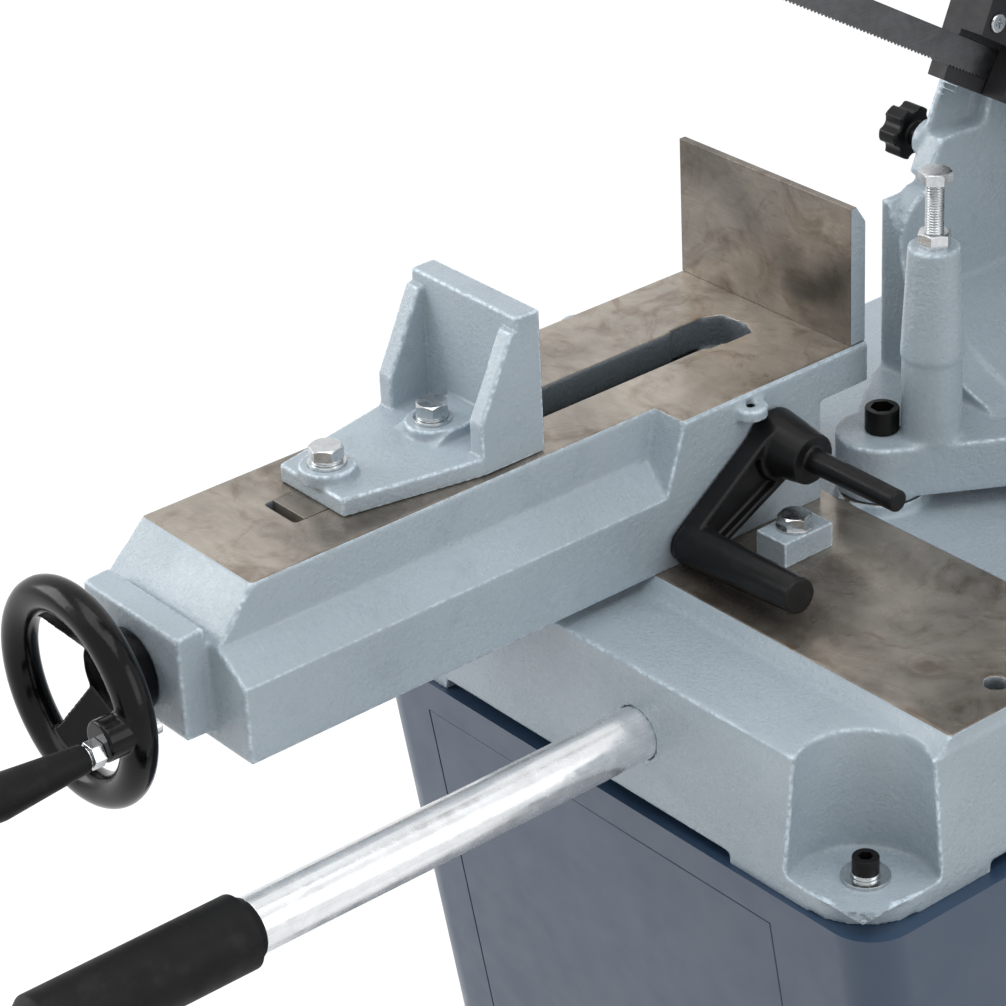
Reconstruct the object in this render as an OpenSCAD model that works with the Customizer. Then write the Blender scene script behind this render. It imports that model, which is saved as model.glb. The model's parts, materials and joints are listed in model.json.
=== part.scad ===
// Metal cutting band saw with a swivelling head, a sliding vise and a sheet metal stand.
// Origin at the floor under the middle of the stand, +X to the right, +Y to the back, +Z up.
// The bow is drawn in its lowered position and then raised about its hinge.

/* [Stand] */
// Width of the stand across the front
stand_w = 472; // [440:1:500]
// Depth of the stand under the casting
stand_d = 552; // [540:1:600]
// Height of the stand
stand_h = 672; // [620:1:720]
// How far the stand stands out in front of the base casting
front_lip = 4; // [2:0.5:8]
// How far the stand stands out behind the base casting
rear_lip = 6; // [2:0.5:10]
// How far the front leans in at the floor
stand_lean = 100; // [60:1:130]
// Radius of the upright corners of the stand
stand_corner_r = 30; // [15:1:40]
// Sheet metal thickness
sheet_t = 2; // [1.5:0.1:3]
// Left edge of the front panel
panel_left = -176; // [-190:1:-150]
// Right edge of the front panel
panel_right = 148; // [120:1:165]
// Gap round the front panel
seam = 0.8; // [0.5:0.1:0.9]
// Sheet left at the sides of the hole in the stand's top
top_rim_x = 76; // [60:1:90]
// Sheet left before and behind the hole in the stand's top
top_rim_y = 110; // [90:1:130]
// Thickness of the floor frame
floor_t = 6; // [5:0.5:10]
// Width of the floor frame's flange
floor_flange = 30; // [26:1:40]
// Radius of the floor bolt holes
floor_hole_r = 6.5; // [5:0.1:8]
// Gap between the coolant tank and the stand's sides
tank_in = 30; // [26:1:60]
// Height of the coolant tank
tank_h = 140; // [100:1:180]

/* [Base casting] */
// Width of the base casting
base_w = 452; // [430:1:470]
// Height of the deck above the foot
base_h = 101; // [90:1:110]
// Front face of the base casting
base_front = -242; // [-250:1:-236]
// Wall thickness of the base casting
base_wall = 12; // [8:0.5:16]
// Height of the machined slideway above the deck
slide_rise = 9; // [6:0.5:12]
// Front edge of the machined slideway
slide_front = -170; // [-176:1:-160]
// Rear edge of the machined slideway
slide_rear = -20; // [-24:1:-17]
// Thickness of the feet
foot_t = 14; // [10:0.5:18]
// Radius of the hollow corners at the feet
pocket_r = 47; // [42:1:52]
// Radius of the hollow corners at the deck
pocket_top_r = 40; // [34:1:42]
// Distance of the hollow corners' middle from the sides
pocket_in = 23; // [18:1:26]
// Radius of the feet's rounded corners
foot_r = 45; // [30:1:50]
// Height of the arch between the feet
arch_h = 8; // [5:0.5:12]
// Distance of the corner screws from the sides
corner_screw_in = 33; // [30:1:38]
// Radius of the corner screws
corner_screw_r = 5; // [4:0.5:6]

/* [Pull handle] */
// Sideways place of the pull handle
pull_x = 32; // [20:1:44]
// Height of the pull handle above the underside of the base casting
pull_up = 54; // [48:1:60]
// Radius of the chrome tube
pull_r = 17.5; // [14:0.5:19]
// Radius of the rubber grip
pull_grip_r = 23; // [20:0.5:26]
// Length of the rubber grip
pull_grip_l = 150; // [110:1:170]
// Where the rubber grip starts
pull_grip_y = -532; // [-560:1:-500]

/* [Vise bed] */
// Sideways place of the vise's middle
vise_x = -110; // [-112:1:-110]
// Height of the vise bed above the slideway
bed_h = 98; // [96:1:108]
// Half width of the narrow front part of the table
bed_front_half = 55; // [50:1:60]
// Half width of the wide rear part of the table
bed_rear_half = 79.5; // [77:0.5:80]
// Half width of the bed's lower part
bed_low_half = 81.6; // [80.5:0.1:82]
// Front end of the bed
bed_front = -481; // [-500:1:-470]
// Rear end of the bed
bed_rear = 13; // [11:1:14]
// Where the wide part of the table starts
bed_step_y = -144; // [-150:1:-130]
// Half width of the slot in the table
slot_half = 15.5; // [12:0.5:18]
// Front end of the slot
slot_front = -392; // [-400:1:-386]
// Rear end of the machined slot
slot_rear = -66; // [-76:1:-60]
// Depth of the lead screw's axis below the table
screw_drop = 59; // [57:1:61]
// Radius of the lead screw
screw_r = 10; // [8:0.5:12]

/* [Jaws] */
// Height of the jaws
jaw_h = 95; // [80:1:110]
// Thickness of the movable jaw's plate
jaw_t = 18; // [14:0.5:22]
// Half width of the movable jaw
jaw_half = 50; // [44:1:56]
// Where the movable jaw's face stands
jaw_face_y = -229; // [-232:1:-226]
// Thickness of the movable jaw's foot
jaw_foot_t = 12; // [10:0.5:15]
// Thickness of the movable jaw's side ribs
jaw_rib_t = 12; // [8:0.5:15]
// Distance of the front bolt from the jaw's face
jaw_bolt_front = 126; // [122:1:128]
// Distance of the rear bolt from the jaw's face
jaw_bolt_rear = 46; // [44:1:50]
// Radius of the jaw bolts
jaw_bolt_r = 6; // [5:0.5:7]

/* [Handwheel] */
// Radius to the middle of the rim
wheel_rim_r = 61; // [52:1:70]
// Radius of the rim's round section
wheel_tube_r = 11; // [8:0.5:13]
// Place of the handwheel's plane along the screw
wheel_y = -541; // [-546:1:-538]
// Radius of the black collar behind the handwheel
collar_r = 27.5; // [22:0.5:30]
// Length of the turning grip
grip_l = 105; // [80:1:130]
// Radius of the turning grip
grip_r = 13.5; // [10:0.5:16]

/* [Lock lever] */
// Place of the lever's axis along the bed
lever_y = -73; // [-76:1:-70]
// Depth of the lever's axis below the table
lever_drop = 38; // [35:1:41]
// Radius of the lever's shaft
lever_shaft_r = 8.95; // [7.95:0.5:9.95]
// Distance from the lever's axis to its barrel grip
lever_reach = 86; // [75:1:90]
// Angle of the lever's arm below level
lever_angle = 31; // [25:1:32]

/* [Swivel arm] */
// Sideways place of the swivel axis
swivel_x = -15; // [-17:1:-14]
// Place of the swivel axis along the depth
swivel_y = 13; // [12:1:15]
// Radius of the pivot lobe
lobe_r = 30; // [28:1:32]
// Thickness of the swivel arm
arm_t = 40; // [38:1:42]
// Radius of the pivot screw
pivot_r = 8; // [7:0.5:9]
// Sideways place of the stop post
post_x = 10; // [8:1:11]
// Place of the stop post along the depth
post_y = 32; // [30:1:33]
// Radius of the stop post's column
post_r = 19.5; // [17:0.5:20]
// Thickness of the left web and the horn
web_t = 18; // [15:0.5:19]
// Left face of the web
web_left = -80; // [-84:1:-79]
// Thickness of the walls round the horn's window
horn_wall = 5; // [4:0.5:7]

/* [Bow] */
// How far the bow is raised from its lowered position
bow_raise = 30.35; // [25:0.05:32]
// Place of the hinge along the depth
hinge_y = 388.4; // [387:0.1:390]
// Height of the hinge above the table
hinge_up = 40; // [38:1:42]
// Radius of the hinge shaft
hinge_r = 15; // [12:0.5:17]
// Lean of the wheels' plane from level
loop_lean = 60; // [59:0.5:61]
// Radius at which the blade runs on the wheels
blade_run_r = 120; // [118:0.5:121]
// Place of the rear wheel's axis
rear_wheel_y = 250; // [248:1:251]
// Distance between the wheels' axes
wheel_gap = 804; // [780:1:830]
// Sideways place of the blade's plane
blade_x = -24; // [-25:0.5:-23]
// Height of the blade's teeth below the table when lowered
teeth_drop = 5; // [4:0.5:6]
// Width of the blade
blade_w = 20; // [18:0.5:21]
// Thickness of the blade
blade_t = 0.9; // [0.6:0.1:1.1]
// Width of the wheels' rims
rim_w = 25; // [22:0.5:27]
// Outer radius of the bow's wheel housings
housing_r = 140; // [138:0.5:141]
// Thickness of the bow's housing walls
housing_wall = 6; // [5:0.5:8]
// Thickness of the bow's back plate
bow_plate_t = 10; // [8:0.5:12]
// Place of the front guide's middle along the depth
front_guide_y = -200; // [-206:1:-196]

/* [Drive] */
// Side of the gearbox
gearbox_w = 110; // [100:1:116]
// Depth of the gearbox
gearbox_d = 95; // [91:1:100]
// Radius of the motor
motor_r = 58; // [52:1:60]
// Length of the motor
motor_l = 190; // [160:1:220]
// Radius of the drive shaft
drive_shaft_r = 14; // [12:0.5:16]

/* [Feed cylinder] */
// Sideways place of the feed cylinder
feed_x = 138; // [137:1:138]
// Radius of the feed cylinder
feed_r = 13; // [12:0.5:13.5]
// Radius of the feed cylinder's rod
feed_rod_r = 6; // [5:0.5:7]

/* [Electrics] */
// Depth of the control box's middle below the top of the stand
control_drop = 112; // [92:1:152]
// Distance of the control box's middle from the stand's back
control_back = 176; // [140:1:220]
// Width of the control box along the depth
control_w = 180; // [160:1:200]
// Height of the control box
control_h = 160; // [140:1:180]
// Depth of the control box
control_d = 80; // [60:1:100]

/* [Hidden] */
$fn = 64;
gap = 0.3;
run = 0.05;
hull_fn = 32;
base_z = stand_h;
base_d = stand_d - front_lip - rear_lip;
deck_z = base_z + base_h;
slide_z = deck_z + slide_rise;
table_z = slide_z + bed_h;
bed_bottom = -bed_h;
pull_z = base_z + pull_up;
control_z = stand_h - control_drop;
base_rear = base_front + base_d;
half_w = base_w / 2;
stand_front = base_front - front_lip;
stand_back = stand_front + stand_d;
control_y = stand_back - control_back;
start_button_y = control_y - 40;
stop_button_y = control_y + 5;
main_switch_y = control_y + 50;
corner_screw_y0 = base_front + corner_screw_in + 2;
corner_screw_y1 = base_rear - corner_screw_in - 2;
corner_screws = [for (x = [-1, 1], y = [corner_screw_y0, corner_screw_y1]) [x * (half_w - corner_screw_in), y]];
foot_top = base_z + foot_t;
pocket_places = [for (x = [-1, 1], y = [base_front + pocket_in, base_rear - pocket_in])
    [x * (half_w - pocket_in), y]];
pull_web_y = base_front + 84;
pull_inner_y = pull_web_y + 28;
screw_z = table_z - screw_drop;
stud_x = vise_x + 50;
stud_travel = 80;
lever_z = table_z - lever_drop;
lever_x = vise_x + bed_low_half + 1.4;
stop_x = -5;
stop_y = -107;
arm_bottom = slide_z + 4;
arm_top = slide_z + arm_t;
web_right = web_left + web_t;
tower_x = 162;
tower_t = 26;
tower_right = tower_x + tower_t;
arm_right = tower_right + 2;
arm_rear = hinge_y + 38;
hinge_z = table_z + hinge_up;
barrel_r = hinge_r + 9;
barrel_left = web_right + 1;
barrel_right = tower_x - 1;
bush_r = hinge_r + 3;
blade_z = table_z - teeth_drop + blade_w / 2;
front_wheel_y = rear_wheel_y - wheel_gap;
plate_out = -30;
plate_in = plate_out + bow_plate_t;
wall_out = 22;
cover_t = 3;
beam_in = 190;
beam_out = 262;
rim_r = blade_run_r - blade_t / 2 - 0.6;
post_top = table_z + 74;
stop_top = table_z + 124.5;
feed_foot = [345, table_z - 40];
feed_top = [300, table_z + 45];
guide_front_y = 56;
guide_rear_y = 110;
guide_screw_y = guide_front_y + 5;
guide_screw_z = table_z + 30;
worm_offset = -33;
worm_drop = motor_r + 4;
feed_piston = 56;

// Shared shapes

module block(x0, x1, y0, y1, z0, z1) {
    translate([x0, y0, z0])
        cube([x1 - x0, y1 - y0, z1 - z0]);
}

module rod_x(r, x0, x1, r2 = -1) {
    translate([x0, 0, 0])
        rotate([0, 90, 0])
            cylinder(r1 = r, r2 = r2 < 0 ? r : r2, h = x1 - x0);
}

module rod_y(r, y0, y1, r2 = -1) {
    translate([0, y0, 0])
        rotate([-90, 0, 0])
            cylinder(r1 = r, r2 = r2 < 0 ? r : r2, h = y1 - y0);
}

module rod_z(r, z0, z1, r2 = -1) {
    translate([0, 0, z0])
        cylinder(r1 = r, r2 = r2 < 0 ? r : r2, h = z1 - z0);
}

// An outline in X and Z, drawn out along Y
module profile_y(points, y0, y1) {
    translate([0, y1, 0])
        rotate([90, 0, 0])
            linear_extrude(y1 - y0)
                polygon(points);
}

// An outline in Y and Z, drawn out along X
module profile_x(points, x0, x1) {
    translate([x0, 0, 0])
        rotate([90, 0, 90])
            linear_extrude(x1 - x0)
                polygon(points);
}

// A six sided nut or bolt head, measured across its flats
module hexagon(flats, z0, z1) {
    translate([0, 0, z0])
        cylinder(r = flats / sqrt(3), h = z1 - z0, $fn = 6);
}

// A cap screw with a socket, its head standing on z = 0
module cap_screw(r, length) {
    difference() {
        union() {
            rod_z(r + 3.2, 0, 2 * r);
            rod_z(r, -length, 0.1);
        }
        hexagon(1.7 * r, r, 2 * r + 1);
    }
}

// A star knob with lobes round its edge, its face towards +Z
module star_knob(r, h, lobes = 6) {
    difference() {
        union() {
            rod_z(r, h * 0.35, h);
            rod_z(r * 0.45, 0, h * 0.35 + 0.1);
        }
        for (i = [0 : lobes - 1])
            rotate([0, 0, i * 360 / lobes])
                translate([r * 1.12, 0, 0])
                    rod_z(r * 0.32, -1, h + 1);
    }
}

// A plate with round corners and its middle on the Z axis
module round_plate(w, d, r, z0, z1) {
    block(-w / 2 + r, w / 2 - r, -d / 2, d / 2, z0, z1);
    block(-w / 2, w / 2, -d / 2 + r, d / 2 - r, z0, z1);
    for (x = [-1, 1], y = [-1, 1])
        translate([x * (w / 2 - r), y * (d / 2 - r), 0])
            rod_z(r, z0, z1);
}

// Moves the children to the vise's own frame
module at_vise() {
    translate([vise_x, 0, table_z])
        children();
}

// Raises the children about the hinge, as the bow is raised
module raised() {
    translate([0, hinge_y, hinge_z])
        rotate([-bow_raise, 0, 0])
            translate([0, -hinge_y, -hinge_z])
                children();
}

// The wheels' leaning plane: X runs from the cutting side to the return side, Z away from the back plate
module in_loop() {
    translate([blade_x, 0, blade_z])
        rotate([0, -loop_lean, 0])
            children();
}

// Stand

module stand_slab(inset, y0, y1, z) {
    r = stand_corner_r - inset;
    for (x = [-1, 1], y = [y0 + inset + r, y1 - inset - r])
        translate([x * (stand_w / 2 - inset - r), y, z])
            cylinder(r = r, h = 0.01, $fn = hull_fn);
}

module stand_solid(inset) {
    hull() {
        stand_slab(inset, stand_front, stand_back, stand_h - 0.01 - inset);
        stand_slab(inset, stand_front + stand_lean, stand_back, floor_t + (inset > 0 ? -1 : 0));
    }
}

module panel_zone(grow) {
    block(panel_left - grow, panel_right + grow, stand_front - 1, stand_front + stand_lean + 40,
        48 - grow, stand_h - 26 + grow);
}

module stand_shell() {
    color([0.2, 0.27, 0.36]) {
        difference() {
            stand_solid(0);
            stand_solid(sheet_t);
            panel_zone(seam);
            block(top_rim_x - half_w, half_w - top_rim_x, base_front + top_rim_y, base_rear - top_rim_y,
                stand_h - 10, stand_h + 1);
            for (p = corner_screws)
                translate([p[0], p[1], 0])
                    rod_z(corner_screw_r + 0.5, stand_h - 10, stand_h + 1);
        }
        difference() {
            intersection() {
                stand_solid(sheet_t);
                panel_zone(12);
            }
            stand_solid(2 * sheet_t);
            panel_zone(-12);
        }
    }
}

module stand_front_panel() {
    color([0.2, 0.27, 0.36])
        intersection() {
            difference() {
                stand_solid(0);
                stand_solid(sheet_t);
            }
            panel_zone(0);
        }
}

module floor_frame() {
    foot_front = stand_front + stand_lean;
    middle = (foot_front + stand_back) / 2;
    depth = stand_back - foot_front;
    color([0.15, 0.18, 0.22])
        block(-stand_w / 2 + 39, stand_w / 2 - 39, -30, 30, 0, floor_t);
    color([0.15, 0.18, 0.22])
        translate([0, middle, 0])
            difference() {
                round_plate(stand_w + 2 * floor_flange, depth, 12, 0, floor_t);
                round_plate(stand_w - 80, depth - 80, 12, -1, floor_t + 1);
                for (x = [-1, 1], y = [-1, 1])
                    translate([x * (stand_w / 2 + floor_flange / 2), y * (depth / 2 - 40), 0])
                        rod_z(floor_hole_r, -1, floor_t + 1);
            }
}

module coolant_tank() {
    half = stand_w / 2 - tank_in;
    tank_rear = stand_back - tank_in;
    tank_top = floor_t + tank_h;
    color([0.25, 0.3, 0.36])
        difference() {
            block(-half, half, -40, tank_rear, floor_t, tank_top);
            block(sheet_t - half, half - sheet_t, sheet_t - 40, tank_rear - sheet_t, floor_t + sheet_t,
                tank_top - sheet_t);
            block(-60, 60, 0, 120, tank_top - 10, tank_top + 5);
        }
}

// Base

module base_arches(z1) {
    block(-half_w + 70, half_w - 113, base_front - 1, base_front + base_wall + 1, base_z - 1, z1);
    block(-half_w + 70, half_w - 70, base_rear - base_wall - 1, base_rear + 1, base_z - 1, z1);
    for (x = [-half_w - 1, half_w - base_wall - 1])
        block(x, x + base_wall + 2, base_front + 106, base_rear - 106, base_z - 1, z1);
}

module base_casting() {
    middle = (base_front + base_rear) / 2;
    color([0.62, 0.68, 0.72])
        difference() {
            union() {
                block(-half_w, half_w, base_front, base_rear, foot_top - 0.1, deck_z);
                translate([0, middle, 0])
                    round_plate(base_w, base_d, foot_r, base_z, foot_top);
                profile_x([[slide_front - slide_rise, deck_z - 1], [slide_front - slide_rise, deck_z],
                    [slide_front, slide_z], [slide_rear, slide_z], [slide_rear + 3, deck_z - 1]],
                    -half_w, half_w - 2);
                translate([swivel_x, swivel_y, 0])
                    rod_z(lobe_r, deck_z - 1, slide_z);
            }
            difference() {
                block(-half_w + base_wall, half_w - base_wall, base_front + base_wall,
                    base_rear - base_wall, base_z - 1, deck_z - base_wall);
                for (p = pocket_places)
                    translate([p[0], p[1], 0])
                        rod_z(pocket_r + base_wall, base_z - 2, deck_z, pocket_top_r + base_wall);
                block(pull_x - 52, pull_x + 52, pull_web_y, pull_web_y + base_wall, base_z + 18, deck_z);
                translate([swivel_x, swivel_y, 0])
                    rod_z(lobe_r - 6, deck_z - 45, deck_z);
            }
            for (p = pocket_places)
                translate([p[0], p[1], 0]) {
                    rod_z(pocket_r, foot_top, deck_z, pocket_top_r);
                    rod_z(pocket_top_r, deck_z - 0.1, slide_z + 1);
                }
            base_arches(base_z + arch_h);
            for (p = corner_screws)
                translate([p[0], p[1], 0])
                    rod_z(corner_screw_r + 0.5, base_z - 2, foot_top + 1);
            translate([pull_x, 0, pull_z])
                rod_y(pull_r + 0.4, base_front - 1, pull_web_y + base_wall + 1);
            block(stud_x - stud_travel - 12, stud_x + 12, lever_y - 9, lever_y + 9, deck_z - 20, slide_z + 1);
            translate([202, -110, 0])
                rod_z(6.5, deck_z - 20, slide_z + 1);
            translate([swivel_x, swivel_y, 0])
                rod_z(pivot_r, deck_z - 34, slide_z + 1);
            translate([stop_x + 13, stop_y + 20.5, 0])
                rod_z(6, deck_z - 20, slide_z + 1);
        }
}

module base_washers() {
    color([0.75, 0.76, 0.77])
        for (p = corner_screws)
            translate([p[0], p[1], foot_top])
                difference() {
                    union() {
                        rod_z(15, 0, 2.5);
                        rod_z(9, 2.5, 5);
                    }
                    rod_z(corner_screw_r, -1, 6);
                }
}

module base_screws() {
    color([0.12, 0.12, 0.13])
        for (p = corner_screws)
            translate([p[0], p[1], foot_top + 5])
                cap_screw(corner_screw_r, foot_t + 14);
}

module stop_block() {
    color([0.62, 0.68, 0.72])
        translate([stop_x, stop_y, slide_z])
            difference() {
                block(0, 26, 0, 41, 0, 17);
                translate([13, 20.5, 0])
                    rod_z(6.5, -1, 18);
            }
}

module stop_block_bolt() {
    color([0.72, 0.7, 0.62])
        translate([stop_x + 13, stop_y + 20.5, slide_z + 17]) {
            rod_z(12, 0, 2);
            hexagon(19, 2, 9.5);
            rod_z(6, -36, 2.1);
        }
}

// Pull handle

module pull_tube() {
    color([0.85, 0.86, 0.87])
        translate([pull_x, 0, pull_z]) {
            difference() {
                rod_y(pull_r, pull_grip_y, pull_inner_y);
                rod_y(pull_r - 2.5, pull_grip_y + 1, pull_inner_y + 1);
            }
            difference() {
                rod_y(pull_r + 5, pull_web_y + base_wall + gap, pull_inner_y);
                rod_y(pull_r - 2.5, pull_web_y, pull_inner_y + 1);
            }
            rod_y(pull_r - 2, pull_grip_y - pull_grip_l + 20, pull_grip_y + 1);
        }
}

module pull_grip() {
    color([0.09, 0.09, 0.1])
        translate([pull_x, 0, pull_z])
            difference() {
                union() {
                    rod_y(pull_grip_r - 2, pull_grip_y - 6, pull_grip_y, pull_grip_r - 5);
                    rod_y(pull_grip_r, pull_grip_y - pull_grip_l + 8, pull_grip_y - 6);
                    rod_y(pull_grip_r - 6, pull_grip_y - pull_grip_l, pull_grip_y - pull_grip_l + 8, pull_grip_r);
                }
                rod_y(pull_r - 2, pull_grip_y - pull_grip_l + 20, pull_grip_y + 1);
            }
}

// Vise

module bed_outside() {
    profile_y([[-bed_front_half, 0], [bed_front_half, 0], [bed_front_half + 3, -31], [bed_low_half, -48],
        [bed_low_half, bed_bottom], [-bed_low_half, bed_bottom], [-bed_low_half, -48],
        [-bed_front_half - 3, -31]], bed_front, bed_rear);
    intersection() {
        profile_y([[-bed_rear_half, 0], [bed_rear_half, 0], [bed_low_half, -2], [bed_low_half, bed_bottom],
            [-bed_low_half, bed_bottom], [-bed_low_half, -2]], bed_step_y - 30, bed_rear);
        profile_x([[bed_rear + 1, 1], [bed_step_y, 1], [bed_step_y, 0], [bed_step_y - 16, -48],
            [bed_step_y - 16, bed_bottom - 1], [bed_rear + 1, bed_bottom - 1]],
            -bed_low_half - 1, bed_low_half + 1);
    }
    for (x = [-1, 1])
        translate([x * (bed_low_half + 1), lever_y - 17, 0])
            rod_z(11, -15, -7);
    profile_x([[bed_front - 21, -88], [bed_front + 1, -90], [bed_front + 1, -19], [bed_front - 21, -21]],
        -48, 48);
}

module vise_bed() {
    color([0.62, 0.68, 0.72])
        at_vise()
            difference() {
                bed_outside();
                profile_x([[bed_front - 30, -31], [bed_front, -31], [bed_front + 29, 0],
                    [bed_front + 29, 1], [bed_front - 30, 1]], -bed_front_half - 4, -48.5);
                profile_x([[bed_front - 30, -31], [bed_front, -31], [bed_front + 29, 0],
                    [bed_front + 29, 1], [bed_front - 30, 1]], 48.5, bed_front_half + 4);
                profile_x([[bed_front - 2, -29], [bed_front, -31], [bed_front + 29, 0], [bed_front + 29, 1],
                    [bed_front - 2, 1]], -49, 49);
                block(-42, 42, bed_front + 24, -42, bed_bottom - 1, -22);
                block(-66, 66, bed_front + 24, -42, bed_bottom - 1, -60);
                block(-66, 66, bed_step_y, -42, bed_bottom - 1, -22);
                block(-bed_low_half - 1, bed_low_half + 1, -28, bed_rear + 1, bed_bottom - 1, -28);
                block(-slot_half, slot_half, slot_front, slot_rear, -23, 1);
                translate([0, 0, -23])
                    linear_extrude(24)
                        polygon([[-18, slot_rear - 1], [-18, slot_rear + 26], [-12, slot_rear + 39],
                            [8, slot_rear + 41], [20, slot_rear + 36], [20, slot_rear + 21],
                            [17, slot_rear - 1]]);
                translate([0, 0, -screw_drop]) {
                    rod_y(screw_r + 6, bed_front - 22, bed_front + 30);
                    rod_y(screw_r - 2 + run, -43, -20);
                }
                translate([0, lever_y, -lever_drop])
                    rod_x(lever_shaft_r + run, 60, bed_low_half + 2);
                for (x = [-1, 1])
                    translate([x * (bed_low_half + 1), lever_y - 17, 0])
                        rod_z(3, -14, -4);
            }
}

module fixed_jaw() {
    color([0.5, 0.47, 0.43])
        at_vise()
            profile_x([[0, 0], [bed_rear, 0], [bed_rear, jaw_h - 12], [bed_rear - 8, jaw_h], [0, jaw_h]],
                -bed_rear_half, bed_rear_half);
}

module grub_screws() {
    color([0.1, 0.1, 0.11])
        at_vise()
            for (x = [-1, 1])
                translate([x * (bed_low_half + 1), lever_y - 17, 0])
                    difference() {
                        rod_z(3, -14, -8);
                        hexagon(3, -11, -7);
                    }
}

module clamp_stud() {
    z0 = bed_bottom - slide_rise - base_wall - 8;
    color([0.45, 0.46, 0.47])
        at_vise()
            difference() {
                union() {
                    translate([stud_x - vise_x, lever_y, 0]) {
                        rod_z(8, z0 + 1, -lever_drop);
                        block(-11, 11, -20, 20, z0, z0 + 8 - gap);
                    }
                    translate([0, lever_y, -lever_drop])
                        rod_x(15, stud_x - vise_x - 9, stud_x - vise_x + 9);
                }
                translate([0, lever_y, -lever_drop])
                    rod_x(lever_shaft_r + run, 30, 70);
            }
}

module screw_bush() {
    color([0.7, 0.55, 0.3])
        at_vise()
            translate([0, 0, -screw_drop])
                difference() {
                    rod_y(screw_r + 6, bed_front - 21, bed_front + 24);
                    rod_y(screw_r + run, bed_front - 22, bed_front + 25);
                }
}

module lead_screw() {
    color([0.6, 0.6, 0.6])
        at_vise()
            translate([0, 0, -screw_drop]) {
                rod_y(screw_r, wheel_y - 4, -43);
                rod_y(screw_r - 2, -43.1, -30);
            }
}

// Handwheel

module handwheel() {
    color([0.07, 0.07, 0.08])
        at_vise()
            translate([0, wheel_y, -screw_drop])
                difference() {
                    union() {
                        rotate([90, 0, 0])
                            rotate_extrude()
                                translate([wheel_rim_r, 0])
                                    circle(r = wheel_tube_r);
                        rod_y(28, -9, 9);
                        rod_y(collar_r, 9, bed_front - 21 - gap - wheel_y);
                        for (a = [-3, 117, 237])
                            rotate([0, -a, 0])
                                rod_x(9, 20, wheel_rim_r, 7.5);
                        rotate([0, 3, 0])
                            translate([wheel_rim_r - 4, 0, 0])
                                rod_y(13.5, -24, 4, 12);
                    }
                    rod_y(screw_r, -4, 60);
                    rotate([0, 3, 0])
                        translate([wheel_rim_r - 4, 0, 0])
                            rod_y(5, -25, 20);
                }
}

module handle_spindle() {
    color([0.75, 0.76, 0.77])
        at_vise()
            translate([0, wheel_y, -screw_drop])
                rotate([0, 3, 0])
                    translate([wheel_rim_r - 4, 0, 0]) {
                        rod_y(5, -34 - grip_l, 16);
                        rotate([90, 0, 0])
                            hexagon(15, 24, 32);
                    }
}

module handle_grip() {
    color([0.07, 0.07, 0.08])
        at_vise()
            translate([0, wheel_y, -screw_drop])
                rotate([0, 3, 0])
                    translate([wheel_rim_r - 4, 0, 0])
                        difference() {
                            union() {
                                rod_y(grip_r, -34 - grip_l * 0.55, -34, grip_r - 5);
                                rod_y(grip_r - 2, -34 - grip_l, -34 - grip_l * 0.55, grip_r);
                                translate([0, -34 - grip_l, 0])
                                    sphere(r = grip_r - 2);
                            }
                            rod_y(5 + run, -34 - grip_l - gap, -33);
                        }
}

module slide_block() {
    y0 = slot_front + 7;
    y1 = jaw_face_y - 39;
    nut_y = jaw_face_y - jaw_bolt_front + 30;
    color([0.42, 0.43, 0.44])
        at_vise()
            difference() {
                union() {
                    block(-slot_half + gap, slot_half - gap, y0, y1, -34, gap);
                    block(-30, 30, y0, y1, -34, -22 - gap);
                    block(-21, 21, nut_y, nut_y + 48, -screw_drop - 20, -34);
                }
                translate([0, 0, -screw_drop])
                    rod_y(screw_r + 5, nut_y - 1, nut_y + 49);
                for (y = [jaw_bolt_front, jaw_bolt_rear])
                    translate([0, jaw_face_y - y, 0])
                        rod_z(jaw_bolt_r, -35, 1);
                translate([0, 0, -screw_drop])
                    rod_y(screw_r + 2, y0 - 1, y1 + 1);
            }
}

module lead_nut() {
    nut_y = jaw_face_y - jaw_bolt_front + 30;
    color([0.7, 0.55, 0.3])
        at_vise()
            translate([0, 0, -screw_drop])
                difference() {
                    rod_y(screw_r + 5, nut_y, nut_y + 48);
                    rod_y(screw_r + run, nut_y - 1, nut_y + 49);
                }
}

module movable_jaw() {
    back = jaw_face_y - jaw_t;
    tip = jaw_face_y - 139;
    color([0.62, 0.68, 0.72])
        at_vise()
            difference() {
                union() {
                    translate([0, 0, gap])
                        linear_extrude(jaw_foot_t)
                            polygon([[-jaw_half, jaw_face_y], [jaw_half, jaw_face_y], [jaw_half, jaw_face_y - 48],
                                [31, tip], [-31, tip], [-jaw_half, jaw_face_y - 48]]);
                    block(-jaw_half, jaw_half, back, jaw_face_y, gap, jaw_h);
                    for (x = [-jaw_half, jaw_half - jaw_rib_t])
                        profile_x([[back + 1, jaw_foot_t], [jaw_face_y - 48, jaw_foot_t], [jaw_face_y - 48, 33],
                            [back - 4, jaw_h - 9], [back + 1, jaw_h - 9]], x, x + jaw_rib_t);
                    for (y = [jaw_bolt_front, jaw_bolt_rear])
                        translate([0, jaw_face_y - y, 0])
                            rod_z(17.5, jaw_foot_t - 1, 20);
                    profile_x([[back + 1, jaw_foot_t - 1], [back - 46, jaw_foot_t - 1], [back - 30, 19],
                        [back + 1, 21]], -19, 19);
                }
                for (y = [jaw_bolt_front, jaw_bolt_rear])
                    translate([0, jaw_face_y - y, 0])
                        rod_z(jaw_bolt_r + 0.5, -1, 30);
            }
}

module jaw_bolts() {
    color([0.75, 0.76, 0.77])
        at_vise()
            for (y = [jaw_bolt_front, jaw_bolt_rear])
                translate([0, jaw_face_y - y, 20]) {
                    rod_z(12, 0, 2.3);
                    rod_z(10, 2.3, 4.8);
                    hexagon(19, 4.8, 12.3);
                    rod_z(jaw_bolt_r, -50, 4.9);
                }
}

// Lock lever

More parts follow.
